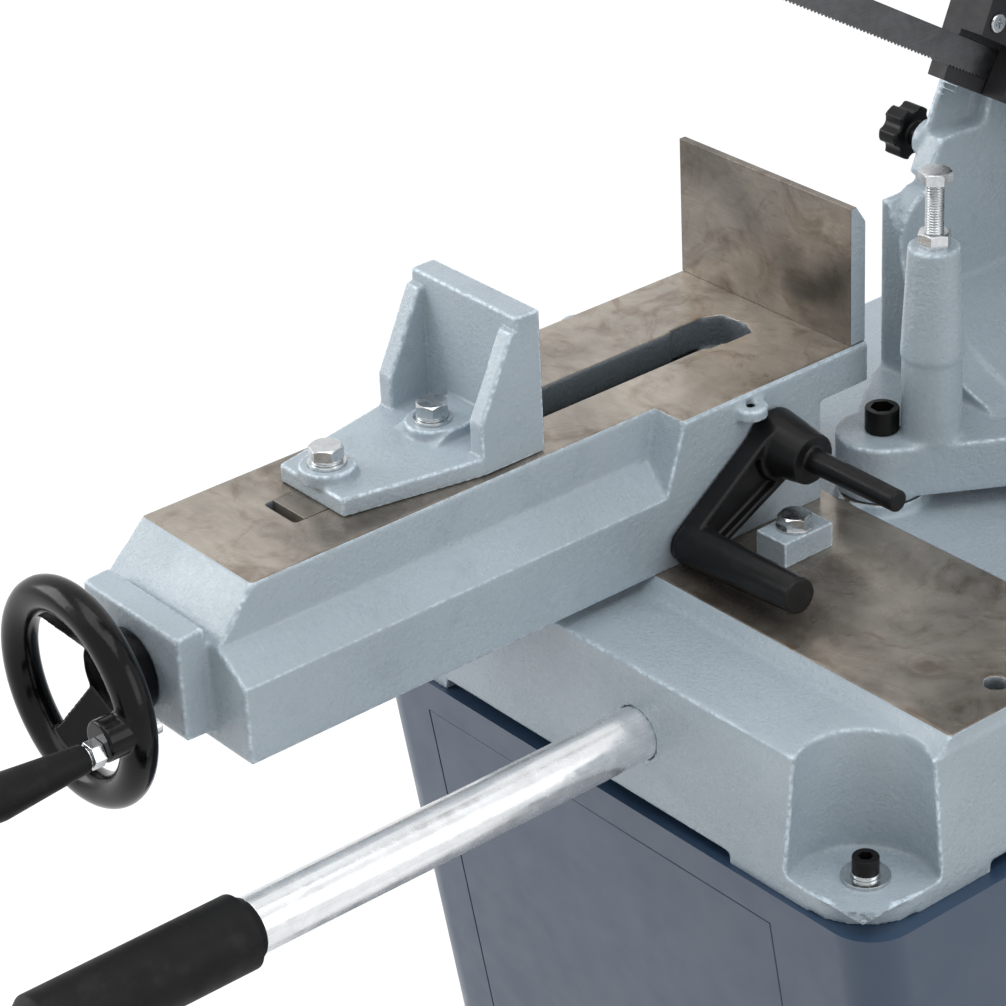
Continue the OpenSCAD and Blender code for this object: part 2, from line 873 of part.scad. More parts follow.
module lever_arm_plate(r0, r1, x0, x1) {
    hull() {
        rod_x(r0, x0, x1, $fn = hull_fn);
        rotate([lever_angle, 0, 0])
            translate([0, -lever_reach, 0])
                rod_x(r1, x0, x1, $fn = hull_fn);
    }
}

module lock_lever() {
    color([0.09, 0.09, 0.1])
        translate([lever_x, lever_y, lever_z]) {
            difference() {
                union() {
                    lever_arm_plate(20, 13, 0, 15);
                    rod_x(22, 0, 38, 16.5);
                }
                difference() {
                    lever_arm_plate(15, 8, 9, 16);
                    rod_x(23, -1, 40);
                    rotate([lever_angle, 0, 0])
                        translate([0, -lever_reach, 0])
                            rod_x(14, -1, 40);
                }
            }
            rod_x(8, 37, 112, 7);
            rotate([lever_angle, 0, 0])
                translate([0, -lever_reach, 0])
                    rotate([0, -5, 0])
                        rod_x(14, 5, 108, 11.5);
        }
}

module lever_shaft() {
    color([0.5, 0.5, 0.5])
        translate([0, lever_y, lever_z])
            rod_x(lever_shaft_r, stud_x - 13, lever_x);
}

// Swivel arm

horn_y = 101;
horn_z = table_z + 74;
horn_tip_y = 148;
horn_tip_z = table_z + 175;
horn_top_z = table_z + 190;
web_front = 76;
web_bend = 32;
web_top = table_z + 67;

module arm_outline() {
    union() {
        translate([swivel_x, swivel_y])
            circle(r = lobe_r);
        polygon([[swivel_x - lobe_r + 5, swivel_y], [web_left, web_front - 6], [web_left, arm_rear],
            [arm_right, arm_rear], [arm_right, hinge_y - 99.4],
            [swivel_x + lobe_r * cos(30), swivel_y - lobe_r * sin(30)]]);
    }
}

// The web's outline: upright front edge, a round shoulder, then level to the back
function web_outline() = concat(
    [[web_front, arm_top - 1]],
    [for (a = [180 : -15 : 90]) [web_front + web_bend + web_bend * cos(a), web_top - web_bend + web_bend * sin(a)]],
    [[arm_rear, web_top], [arm_rear, arm_top - 1]]);

horn_outline = [[horn_y, horn_z], [horn_tip_y, horn_tip_z], [horn_tip_y + 14, horn_top_z],
    [horn_tip_y + 44, horn_top_z], [horn_tip_y + 70, web_top], [horn_y + 20, web_top - 20], [horn_y + 7, web_top]];

// The window's outline, a wall's thickness inside the horn
window_outline = [[horn_y + 4 + horn_wall, horn_z + 24], [horn_tip_y - 8 + horn_wall, horn_tip_z - 15],
    [horn_tip_y + 20, horn_tip_z - 15], [horn_tip_y + 4, horn_z + 23]];

module swivel_arm() {
    color([0.62, 0.68, 0.72])
        difference() {
            union() {
                translate([0, 0, arm_bottom])
                    linear_extrude(arm_top - arm_bottom)
                        arm_outline();
                translate([swivel_x, swivel_y, 0])
                    rod_z(lobe_r, slide_z + gap, arm_top);
                translate([post_x, post_y, 0]) {
                    rod_z(post_r, arm_top - 1, table_z);
                    rod_z(post_r + 1, table_z - 1, post_top, post_r - 3);
                }
                profile_x(web_outline(), web_left, web_right);
                profile_x(horn_outline, web_left, web_right);
                profile_y([[web_left, arm_top - 1], [web_left, web_top - 5], [web_left + 6, web_top - 5],
                    [web_right + 14, table_z - 16], [blade_x + 19, table_z - 46], [blade_x + 54, arm_top - 1]],
                    web_front, web_front + 28);
                profile_y([[web_right - 1, arm_top - 1], [web_right - 1, table_z - 7], [blade_x + 14, table_z - 40],
                    [blade_x + 54, arm_top - 1]], web_front + 27, hinge_y - 90);
                profile_x([[hinge_y - 34, arm_top - 1], [hinge_y - 24, hinge_z + 20], [hinge_y - 12, hinge_z + 30],
                    [hinge_y + 12, hinge_z + 30], [hinge_y + 24, hinge_z + 20], [arm_rear, arm_top - 1]],
                    tower_x, tower_right);
                profile_x([[feed_foot[0] - 20, arm_top - 1], [feed_foot[0] - 12, feed_foot[1] + 10],
                    [feed_foot[0] + 12, feed_foot[1] + 10], [feed_foot[0] + 20, arm_top - 1]],
                    feed_x - 24, feed_x - 14);
                translate([0, horn_y + 20, horn_z + 16])
                    rod_x(13, web_left - 6, web_left + 1);
            }
            profile_x(window_outline, web_left + 4, web_right + 1);
            translate([0, hinge_y, hinge_z])
                rod_x(hinge_r, web_left - 1, tower_right + 1);
            translate([swivel_x, swivel_y, 0])
                rod_z(pivot_r + run, slide_z - 1, arm_top + 1);
            translate([post_x, post_y, 0])
                rod_z(6, table_z + 30, post_top + 1);
            translate([0, horn_y + 20, horn_z + 16])
                rod_x(5 + run, web_left - 7, web_left + 12);
            translate([0, feed_foot[0], feed_foot[1]])
                rod_x(5, feed_x - 25, feed_x - 13);
            block(web_left + 14, arm_right - 14, swivel_y + 190, arm_rear - 14, arm_bottom - 1, arm_top - 12);
            block(web_left + 14, 40, web_front + 10, swivel_y + 178, arm_bottom - 1, arm_top - 12);
        }
}

module pivot_screw() {
    color([0.1, 0.1, 0.11])
        translate([swivel_x, swivel_y, arm_top + gap])
            cap_screw(pivot_r, arm_t + 34);
}

module stop_bolt() {
    color([0.75, 0.76, 0.77])
        translate([post_x, post_y, 0]) {
            hexagon(19, stop_top - 7.5, stop_top);
            rod_z(6, table_z + 30, stop_top - 7.4);
        }
}

module stop_nut() {
    color([0.75, 0.76, 0.77])
        translate([post_x, post_y, post_top])
            difference() {
                hexagon(19, 0, 10);
                rod_z(6, -1, 11);
            }
}

module horn_knob() {
    color([0.08, 0.08, 0.09])
        translate([web_left - 6 - gap, horn_y + 20, horn_z + 16])
            rotate([0, -90, 0]) {
                star_knob(18, 24);
                rod_z(5, -16, 1);
            }
}

module hinge_shaft() {
    color([0.55, 0.55, 0.56])
        translate([0, hinge_y, hinge_z])
            rod_x(hinge_r, web_left - 4, tower_right + 4);
}

// Bow

module loop_disc(y, r, z0, z1) {
    translate([blade_run_r, y, 0])
        rod_z(r, z0, z1);
}

module loop_outline_plate(z0, z1) {
    for (y = [rear_wheel_y, front_wheel_y])
        loop_disc(y, housing_r, z0, z1);
    block(beam_in, beam_out, front_wheel_y, rear_wheel_y, z0, z1);
}

module bow_frame() {
    color([0.62, 0.68, 0.72])
        raised()
            difference() {
                union() {
                    in_loop()
                        difference() {
                            loop_outline_plate(plate_out, wall_out);
                            for (y = [rear_wheel_y, front_wheel_y])
                                loop_disc(y, housing_r - housing_wall, plate_in, wall_out + 1);
                            block(beam_in + housing_wall, beam_out - housing_wall, front_wheel_y, rear_wheel_y,
                                plate_in, wall_out + 1);
                            block(-blade_w, blade_w, front_wheel_y, rear_wheel_y, plate_in + 1, wall_out + 1);
                            loop_disc(rear_wheel_y, 30, plate_out - 1, plate_in + 1);
                            block(blade_run_r - 17, blade_run_r + 17, front_wheel_y - 26, front_wheel_y + 26,
                                plate_out - 1, plate_in + 1);
                        }
                    in_loop()
                        difference() {
                            block(blade_run_r - 14, blade_run_r + 14, front_wheel_y - housing_r + 12,
                                front_wheel_y - housing_r + 28, plate_out - 28, plate_out + 1);
                            translate([blade_run_r, 0, plate_out - 17])
                                rod_y(4 + run, front_wheel_y - housing_r, front_wheel_y - housing_r + 40);
                        }
                    translate([0, hinge_y, hinge_z])
                        rod_x(barrel_r, barrel_left, barrel_right);
                    block(blade_x - 14, blade_x + 66, guide_front_y + 4, rear_wheel_y - 128,
                        table_z + 50, table_z + 82);
                    block(post_x - 14, post_x + 90, post_y - 13, post_y + 13, stop_top + gap, stop_top + 24);
                    block(post_x + 48, post_x + 90, post_y - 13, post_y + 13, stop_top + 23, stop_top + 54);
                    profile_x([[hinge_y, hinge_z + 20], [hinge_y, hinge_z - 20], [feed_top[0], feed_top[1] - 13],
                        [feed_top[0] - 13, feed_top[1]], [feed_top[0], feed_top[1] + 13]],
                        feed_x + 15, barrel_right - 1);
                }
                translate([0, hinge_y, hinge_z])
                    rod_x(bush_r, barrel_left - 1, barrel_right + 1);
                translate([0, feed_top[0], feed_top[1]])
                    rod_x(9, feed_x, barrel_right);
                in_loop() {
                    loop_disc(rear_wheel_y, housing_r - housing_wall, plate_in, wall_out + 1);
                    loop_disc(rear_wheel_y, housing_r + 1, wall_out, wall_out + cover_t + gap);
                }
            }
}

module hinge_bushes() {
    color([0.7, 0.55, 0.3])
        raised()
            translate([0, hinge_y, hinge_z])
                for (x = [barrel_left, barrel_right - 40])
                    difference() {
                        rod_x(bush_r, x, x + 40);
                        rod_x(hinge_r + run, x - 1, x + 41);
                    }
}

cover_screw_places = concat(
    [for (a = [-60, 60]) [blade_run_r - (housing_r - 3) * cos(a), rear_wheel_y + (housing_r - 3) * sin(a)]],
    [for (a = [-60, 60]) [blade_run_r - (housing_r - 3) * cos(a), front_wheel_y + (housing_r - 3) * sin(a)]],
    [for (y = [rear_wheel_y - 200, front_wheel_y + 200]) [beam_out - 3, y]]);

module wheel_cover() {
    color([0.66, 0.71, 0.75])
        raised()
            in_loop()
                difference() {
                    loop_outline_plate(wall_out, wall_out + cover_t);
                    for (p = cover_screw_places)
                        translate([p[0], p[1], 0])
                            rod_z(2, wall_out - 1, wall_out + cover_t + 1);
                }
}

module cover_screws() {
    color([0.75, 0.76, 0.77])
        raised()
            in_loop()
                for (p = cover_screw_places)
                    translate([p[0], p[1], wall_out + cover_t]) {
                        rod_z(5, 0, 3, 3);
                        rod_z(2, -cover_t, 0.1);
                    }
}

// The blade's loop: a station has its place along the loop, its middle, and the lean of its width
twist_start = rear_wheel_y - 66;
twist_end = guide_rear_y + 4;
front_twist_start = front_wheel_y + 66;
front_twist_end = front_guide_y - 80;
arc_steps = 24;
function lerp(a, b, t) = a + (b - a) * t;
function in_world(s, y, t) = [blade_x + s * cos(loop_lean) - t * sin(loop_lean), y,
    blade_z + s * sin(loop_lean) + t * cos(loop_lean)];
blade_stations = concat(
    [for (i = [0 : arc_steps]) let (a = 180 * i / arc_steps)
        [blade_run_r - blade_run_r * cos(a), rear_wheel_y + blade_run_r * sin(a), loop_lean]],
    [for (i = [0 : arc_steps]) let (a = 180 * i / arc_steps)
        [blade_run_r + blade_run_r * cos(a), front_wheel_y - blade_run_r * sin(a), loop_lean]],
    [for (i = [0 : 6]) [0, lerp(front_twist_start, front_twist_end, i / 6), lerp(loop_lean, 0, i / 6)]],
    [for (i = [0 : 6]) [0, lerp(twist_end, twist_start, i / 6), lerp(0, loop_lean, i / 6)]]);

function blade_side(i) = let (n = len(blade_stations), a = blade_stations[(i + n - 1) % n],
    b = blade_stations[(i + 1) % n], d = [b[0] - a[0], b[1] - a[1]], l = norm(d)) [-d[1] / l, d[0] / l];

function blade_ring(i) = let (p = blade_stations[i], side = blade_side(i), lean = p[2],
    width = [-sin(lean), 0, cos(lean)],
    side3 = lean == loop_lean ? in_world(side[0], side[1], 0) - in_world(0, 0, 0)
        : [-cos(lean), 0, -sin(lean)],
    middle = in_world(p[0], p[1], 0), w = blade_w / 2, t = blade_t / 2)
    [middle + width * w + side3 * t, middle - width * w + side3 * t,
     middle - width * w - side3 * t, middle + width * w - side3 * t];

module saw_blade() {
    count = len(blade_stations);
    color([0.45, 0.46, 0.47])
        raised()
            polyhedron(points = [for (i = [0 : count - 1]) each blade_ring(i)],
                faces = [for (i = [0 : count - 1], k = [0 : 3]) let (j = (i + 1) % count)
                    each [[4 * i + k, 4 * j + k, 4 * i + (k + 1) % 4],
                        [4 * j + k, 4 * j + (k + 1) % 4, 4 * i + (k + 1) % 4]]]);
}

// Blade guides

module guide_body(y0, y1, lean) {
    side = blade_t / 2 + 0.15;
    z0 = table_z - teeth_drop - 9;
    z1 = table_z + 50;
    difference() {
        profile_x([[y0, z0], [y1, z0], [y1, z1], [y0 - lean, z1]], blade_x - 15, blade_x + 18);
        block(blade_x - side, blade_x + side, y0 - 20, y1 + 20, z0 - 1, blade_z + blade_w / 2 + 0.3);
    }
}

module rear_guide() {
    color([0.18, 0.18, 0.19])
        raised()
            difference() {
                guide_body(guide_front_y, guide_rear_y, 7);
                block(blade_x + blade_t / 2 + 0.15, blade_x + 30, guide_front_y - 20, guide_rear_y - 16,
                    table_z - 30, table_z + 19);
                translate([0, guide_screw_y, guide_screw_z])
                    rod_x(2.5, blade_x + 5, blade_x + 19);
            }
}

module guide_screw() {
    color([0.9, 0.9, 0.9])
        raised()
            translate([blade_x + 18, guide_screw_y, guide_screw_z]) {
                rod_x(6.2, 0, 2.4, 4);
                rod_x(2.5, -13, 0.1);
            }
}

module front_guide_arm() {
    color([0.62, 0.68, 0.72])
        raised()
            difference() {
                union() {
                    in_loop()
                        block(70, beam_out - 12, front_guide_y - 22, front_guide_y + 22,
                            plate_out - 14 - gap, plate_out - gap);
                    block(blade_x - 15, blade_x + 74, front_guide_y - 22, front_guide_y + 22,
                        table_z + 50, table_z + 70);
                }
                in_loop()
                    translate([(beam_in + beam_out) / 2, front_guide_y, 0])
                        rod_z(5 + run, plate_out - 20, plate_out);
            }
}

module front_guide() {
    color([0.18, 0.18, 0.19])
        raised()
            guide_body(front_guide_y - 22, front_guide_y + 22, 0);
}

module guide_lock_knob() {
    color([0.08, 0.08, 0.09])
        raised()
            in_loop()
                translate([(beam_in + beam_out) / 2, front_guide_y, plate_out - 14 - 2 * gap])
                    rotate([180, 0, 0]) {
                        star_knob(20, 26);
                        rod_z(5, -5, 0.1);
                    }
}

// Wheels

module band_wheel(hub_r, bore_r) {
    difference() {
        union() {
            difference() {
                rod_z(rim_r, -rim_w / 2, rim_w / 2);
                rod_z(rim_r - 12, -rim_w / 2 - 1, rim_w / 2 + 1);
            }
            rod_z(rim_r - 11, -4, 4);
            rod_z(hub_r, -rim_w / 2, rim_w / 2);
        }
        rod_z(bore_r, -rim_w, rim_w);
        for (i = [0 : 4])
            rotate([0, 0, i * 72])
                translate([rim_r * 0.58, 0, 0])
                    rod_z(20, -6, 6);
    }
}

module drive_wheel() {
    color([0.4, 0.41, 0.42])
        raised()
            in_loop()
                translate([blade_run_r, rear_wheel_y, 0]) {
                    band_wheel(30, drive_shaft_r);
                    rod_z(drive_shaft_r, plate_out - gearbox_d + 8 + gap, rim_w / 2);
                }
}

module idler_wheel() {
    color([0.4, 0.41, 0.42])
        raised()
            in_loop()
                translate([blade_run_r, front_wheel_y, 0])
                    band_wheel(26, 12 + run);
}

module idler_slide() {
    color([0.5, 0.5, 0.51])
        raised()
            in_loop()
                difference() {
                    translate([blade_run_r, front_wheel_y, 0]) {
                        rod_z(12, plate_out, rim_w / 2 + 4);
                        rod_z(17, rim_w / 2 + gap, rim_w / 2 + 4);
                        rod_z(17, plate_in + gap, -rim_w / 2 - gap);
                        block(-17 + gap, 17 - gap, -14, 14, plate_out - 1, plate_in + 1);
                        block(-26, 26, -26, 26, plate_out - 10, plate_out - gap);
                        block(-12, 12, -26, -18, plate_out - 24, plate_out - 9);
                    }
                    translate([blade_run_r, front_wheel_y, plate_out - 17])
                        rod_y(4 + run, -30, -14);
                }
}

module tension_knob() {
    screw_front = housing_r + 26;
    color([0.08, 0.08, 0.09])
        raised()
            in_loop()
                translate([blade_run_r, front_wheel_y, plate_out - 17]) {
                    rod_y(4, -screw_front, -16);
                    translate([0, -screw_front, 0])
                        rotate([90, 0, 0])
                            star_knob(26, 34);
                }
}

// Drive

module at_gearbox() {
    raised()
        in_loop()
            translate([blade_run_r, rear_wheel_y, plate_out - worm_drop])
                children();
}

module gearbox() {
    half = gearbox_w / 2;
    deep = gearbox_d - worm_drop;
    color([0.5, 0.54, 0.57])
        at_gearbox()
            difference() {
                union() {
                    block(-35, half, worm_offset - 20, 35, -deep, worm_drop);
                    translate([half - 1, worm_offset, 0])
                        rod_x(26, 0, 14);
                }
                rod_z(25, -8, 8);
                rod_z(drive_shaft_r + run, -deep + 8, worm_drop + 1);
                translate([0, worm_offset, 0]) {
                    rod_x(11, -28, 38);
                    rod_x(7 + run, -30, half + 14);
                }
            }
}

module worm_wheel() {
    color([0.7, 0.55, 0.3])
        at_gearbox()
            difference() {
                rod_z(23.5, -6, 6);
                rod_z(drive_shaft_r, -7, 7);
            }
}

module worm_shaft() {
    color([0.55, 0.55, 0.56])
        at_gearbox()
            translate([0, worm_offset, 0]) {
                rod_x(9, -27, 32);
                rod_x(7, -29, gearbox_w / 2 + 17);
            }
}

module at_motor() {
    at_gearbox()
        translate([gearbox_w / 2 + 13, worm_offset, 0])
            children();
}

module motor() {
    color([0.3, 0.34, 0.38])
        at_motor()
            difference() {
                union() {
                    rod_x(motor_r, 0, 10);
                    rod_x(motor_r - 6, 9, motor_l);
                    for (i = [0 : 23])
                        rotate([i * 15, 0, 0])
                            block(12, motor_l - 6, -1.5, 1.5, motor_r - 8, motor_r);
                }
                rod_x(7 + run, -1, 6);
            }
}

module fan_cover() {
    color([0.25, 0.28, 0.32])
        at_motor()
            translate([motor_l, 0, 0])
                difference() {
                    rod_x(motor_r + 2, 0, 40, motor_r - 4);
                    rod_x(motor_r - 8, -1, 37);
                    for (i = [0 : 11])
                        rotate([i * 30, 0, 0])
                            block(30, 41, -3, 3, 16, 44);
                }
}

module terminal_box() {
    color([0.15, 0.16, 0.18])
        at_motor() {
            block(47, 127, motor_r, motor_r + 44, -36, 36);
            translate([31, motor_r + 22, 0])
                rod_x(9, 0, 17);
        }
}

module bow_handle() {
    color([0.08, 0.08, 0.09])
        raised()
            in_loop()
                translate([beam_in + 30, front_wheel_y - 120, 0])
                    difference() {
                        union() {
                            for (z = [-20, 12])
                                block(0, 20, -70, 30, z, z + 8);
                            translate([10, -70, 0])
                                rod_z(14, -34, 90);
                        }
                        translate([-beam_in - 30 + blade_run_r, 120, 0])
                            rod_z(housing_r, -60, 100);
                    }
}

// Feed cylinder

feed_dir = [hinge_y, hinge_z];
function turned(p) = let (d = p - feed_dir)
    feed_dir + [d[0] * cos(bow_raise) + d[1] * sin(bow_raise), -d[0] * sin(bow_raise) + d[1] * cos(bow_raise)];
feed_top_now = turned(feed_top);
feed_line = feed_top_now - feed_foot;
feed_length = norm(feed_line);
feed_angle = atan2(feed_line[0], feed_line[1]);

module at_feed() {
    translate([feed_x, feed_foot[0], feed_foot[1]])
        rotate([-feed_angle, 0, 0])
            children();
}

module feed_cylinder() {
    color([0.2, 0.2, 0.22])
        at_feed()
            difference() {
                union() {
                    rod_z(feed_r, 14, 87);
                    block(-6, 6, -10, 10, 0, 15);
                    rod_x(10, -14 + gap, 6);
                    translate([0, 0, 70])
                        rod_y(8, -feed_r - 10, 0);
                }
                rod_z(feed_rod_r + run, 20, 88);
                rod_z(feed_r - 3, 20, 83);
                translate([0, 0, 70])
                    rod_y(4 + run, -feed_r - 11, -feed_r + 1);
            }
    color([0.5, 0.5, 0.5])
        translate([0, feed_foot[0], feed_foot[1]])
            rod_x(5 - run, feed_x - 24, feed_x - 13);
}

module feed_rod() {
    color([0.85, 0.86, 0.87])
        at_feed() {
            rod_z(feed_rod_r, feed_piston, feed_length - 8);
            rod_z(feed_r - 3 - gap, feed_piston, feed_piston + 5);
            translate([0, 0, feed_length]) {
                rod_x(10, -6, 15 - gap);
                rod_x(5, 0, barrel_right - 1 - feed_x);
            }
        }
}

module feed_valve_knob() {
    color([0.6, 0.08, 0.07])
        at_feed()
            translate([0, -feed_r - 10 - gap, 70])
                rotate([90, 0, 0]) {
                    star_knob(11, 14, 8);
                    rod_z(4, -11, 0.1);
                }
}

// Electrics

module control_box() {
    x0 = stand_w / 2;
    color([0.72, 0.74, 0.75])
        difference() {
            union() {
                block(x0, x0 + control_d, control_y - control_w / 2, control_y + control_w / 2,
                    control_z - control_h / 2, control_z + control_h / 2);
                translate([x0 + control_d / 2, start_button_y, 0])
                    rod_z(10, control_z - control_h / 2 - 22, control_z - control_h / 2 + 1);
            }
            block(x0 - 1, x0 + control_d - 4, control_y + 3 - control_w / 2, control_y - 3 + control_w / 2,
                control_z - control_h / 2 + 3, control_z + control_h / 2 - 3);
            for (y = [start_button_y, stop_button_y])
                translate([0, y, control_z + 40])
                    rod_x(11.3, x0 + control_d - 22, x0 + control_d + 1);
            translate([0, main_switch_y, control_z + 10])
                rod_x(8 + run, x0 + control_d - 20, x0 + control_d + 1);
        }
}

module start_button() {
    x1 = stand_w / 2 + control_d;
    color([0.1, 0.5, 0.2])
        translate([0, start_button_y, control_z + 40])
            rod_x(11, x1 - 14, x1 + 5);
}

module stop_button() {
    x1 = stand_w / 2 + control_d;
    color([0.75, 0.08, 0.06])
        translate([0, stop_button_y, control_z + 40]) {
            rod_x(11, x1 - 14, x1 + 9);
            rod_x(18, x1 + 8, x1 + 18, 15);
        }
}

module main_switch() {
    x1 = stand_w / 2 + control_d;
    color([0.1, 0.1, 0.11])
        translate([x1 + gap, main_switch_y, control_z + 10]) {
            rod_x(20, 0, 8);
            block(7, 22, -6, 6, -19, 19);
            rod_x(8, -16, 1);
        }
}

stand_shell();
stand_front_panel();
floor_frame();
coolant_tank();
base_casting();
base_washers();
base_screws();
stop_block();
stop_block_bolt();
pull_tube();
pull_grip();
vise_bed();
fixed_jaw();
grub_screws();
clamp_stud();
screw_bush();
lead_screw();
handwheel();
handle_spindle();
handle_grip();
slide_block();
lead_nut();
movable_jaw();
jaw_bolts();
lock_lever();
lever_shaft();
swivel_arm();
pivot_screw();
stop_bolt();
stop_nut();
horn_knob();
hinge_shaft();
bow_frame();
hinge_bushes();
wheel_cover();
cover_screws();
saw_blade();
rear_guide();
guide_screw();
front_guide_arm();
front_guide();
guide_lock_knob();
drive_wheel();
idler_wheel();
idler_slide();
tension_knob();
gearbox();
worm_wheel();
worm_shaft();
motor();
fan_cover();
terminal_box();
bow_handle();
feed_cylinder();
feed_rod();
feed_valve_knob();
control_box();
start_button();
stop_button();
main_switch();
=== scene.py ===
# Dresses the metal cutting band saw: rounds its castings, models its screws, threads and teeth, gives every
# part its finish and sets up the studio. Lengths are metres, +X to the right, +Y to the back, +Z up.

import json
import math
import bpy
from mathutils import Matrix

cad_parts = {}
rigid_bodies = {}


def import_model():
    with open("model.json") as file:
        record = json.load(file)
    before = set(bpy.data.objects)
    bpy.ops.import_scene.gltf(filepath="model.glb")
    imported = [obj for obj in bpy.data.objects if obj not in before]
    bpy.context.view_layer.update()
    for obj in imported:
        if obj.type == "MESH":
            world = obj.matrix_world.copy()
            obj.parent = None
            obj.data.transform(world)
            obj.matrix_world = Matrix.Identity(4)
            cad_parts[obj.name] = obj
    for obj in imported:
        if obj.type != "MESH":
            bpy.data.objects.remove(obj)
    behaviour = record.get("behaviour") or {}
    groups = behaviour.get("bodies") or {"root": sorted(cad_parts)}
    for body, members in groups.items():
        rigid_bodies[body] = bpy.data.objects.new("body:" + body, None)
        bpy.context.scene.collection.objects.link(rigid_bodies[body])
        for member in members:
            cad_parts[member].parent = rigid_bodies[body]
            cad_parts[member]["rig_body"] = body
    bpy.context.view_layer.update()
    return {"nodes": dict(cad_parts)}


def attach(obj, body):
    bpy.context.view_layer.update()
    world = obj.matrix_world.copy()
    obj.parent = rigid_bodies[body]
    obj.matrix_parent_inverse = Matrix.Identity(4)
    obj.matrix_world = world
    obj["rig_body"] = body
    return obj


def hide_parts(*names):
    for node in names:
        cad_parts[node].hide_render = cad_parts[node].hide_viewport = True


bl_info = {
    "name": "Metal Cutting Band Saw",
    "version": (1, 0, 0),
    "blender": (4, 5, 0),
    "location": "3D View > Sidebar > Band Saw",
    "description": "Dresses the band saw with rounded castings, fasteners, blade teeth and finishes",
    "category": "Add Mesh",
}

import bmesh
import bpy
import numpy as np
from bpy.props import FloatProperty, FloatVectorProperty, IntProperty, PointerProperty
from mathutils import Matrix, Vector

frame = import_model()

# The bow's hinge, how far the bow is raised and how far the loop of the blade leans
HINGE = Vector((0.0, 0.3884, 0.920))
BOW_RAISE = math.radians(30.35)
LOOP_LEAN = math.radians(60)
# The lower run of the blade with the bow down
BLADE_X = -0.024
BLADE_Z = 0.885
RAISED = Matrix.Translation(HINGE) @ Matrix.Rotation(-BOW_RAISE, 4, "X") @ Matrix.Translation(-HINGE)
IN_LOOP = Matrix.Translation((BLADE_X, 0, BLADE_Z)) @ Matrix.Rotation(-LOOP_LEAN, 4, "Y")
# The band wheels, and where the blade twists to stand upright between its guides
BAND_WHEEL_R = 0.120
REAR_WHEEL_Y = 0.250
FRONT_WHEEL_Y = -0.554
FRONT_TWIST = (-0.488, -0.280)
REAR_TWIST = (0.114, 0.184)
# The vise's table, middle line, handwheel and jaw
TABLE_Z = 0.880
VISE_X = -0.110
WHEEL = (VISE_X, -0.541, 0.821)
SPOKES = (-3, 117, 237)
JAW_FACE_Y = -0.229
# The base's slideway and its corner screws
SLIDEWAY_Z = 0.782
CORNER_X = 0.193
CORNER_Y = (-0.207, 0.265)
CORNER_Z = 0.686
# The stop post's middle and the screw at the side of the blade's rear guide
POST = (0.010, 0.032)
GUIDE_SCREW = (0.061, 0.910)
# The hexagon heads: width across flats and height
HEX_WIDTH = 0.019
HEX_HEIGHT = 0.0075
# The camera: lens in millimetres, place and directions
LENS = 126.085
CAMERA_PLACE = (1.39723, -1.41126, 1.88810)
CAMERA_RIGHT = (0.63730, 0.76935, -0.04422)
CAMERA_UP = (-0.34980, 0.33994, 0.87297)
CAMERA_BACK = (0.68665, -0.54088, 0.48576)
# Points closer than this are one point
MERGE = 0.00002
FINISHES = {}


def colour(red, green, blue):
    """Turns a colour mixed from 0 to 255 into the linear one that a shader takes."""
    return tuple(c / 3294.6 if c <= 10 else ((c / 255 + 0.055) / 1.055) ** 2.4 for c in (red, green, blue))


def length(name, description, default, low, high):
    """A size in metres that a user may change."""
    return FloatProperty(name=name, description=description, default=default, min=low, max=high, unit="LENGTH",
                         precision=5)


def tint(name, description, default):
    """A colour that a user may change."""
    return FloatVectorProperty(name=name, description=description, default=default, min=0, max=1, size=3,
                               subtype="COLOR")


class BandSawSizes(bpy.types.PropertyGroup):
    """Sizes of the details that the construction drawing leaves out."""

    cast_edge: length("Cast edge", "Radius of the edges of the small castings", 0.0022, 0.0005, 0.004)
    cut_edge: length("Machined edge", "Width of the broken edges of machined faces", 0.0004, 0.0001, 0.001)
    sheet_edge: length("Sheet edge", "Radius of the folded edges of the sheet metal", 0.0012, 0.0003, 0.002)
    moulded_edge: length("Moulded edge", "Radius of the edges of knobs and levers", 0.0014, 0.0003, 0.003)
    turned_edge: length("Turned edge", "Width of the broken edges of turned parts", 0.0005, 0.0001, 0.001)
    thread_pitch: length("Thread pitch", "Pitch of the thread of the stop bolt", 0.00175, 0.001, 0.003)
    tooth_pitch: length("Tooth pitch", "Distance from tooth to tooth on the blade", 0.0034, 0.002, 0.01)
    tooth_depth: length("Tooth depth", "Depth of the blade's gullets", 0.0014, 0.0005, 0.003)
    knurls: IntProperty(name="Knurls", description="Number of knurls round a cap screw's head", default=40,
                        min=12, max=90)


class BandSawColours(bpy.types.PropertyGroup):
    """Colours of the main finishes."""

    casting: tint("Casting paint", "Light blue grey gloss paint on the castings", colour(162, 175, 184))
    iron: tint("Machined iron", "Ground iron with brown oil stains", colour(138, 131, 122))
    stand: tint("Stand paint", "Dark slate blue paint on the stand", colour(44, 64, 88))
    zinc: tint("Zinc plate", "Bright zinc on bolts and washers", colour(205, 208, 210))
    chrome: tint("Chromed tube", "Plated tube of the pull handle", colour(232, 234, 236))
    gloss_black: tint("Gloss black", "Moulded handwheel", colour(6, 6, 7))
    rubber: tint("Rubber", "Grips of the handles", colour(10, 10, 11))
    oxide: tint("Black oxide", "Blackened cap screws", colour(30, 29, 28))


# Finishes


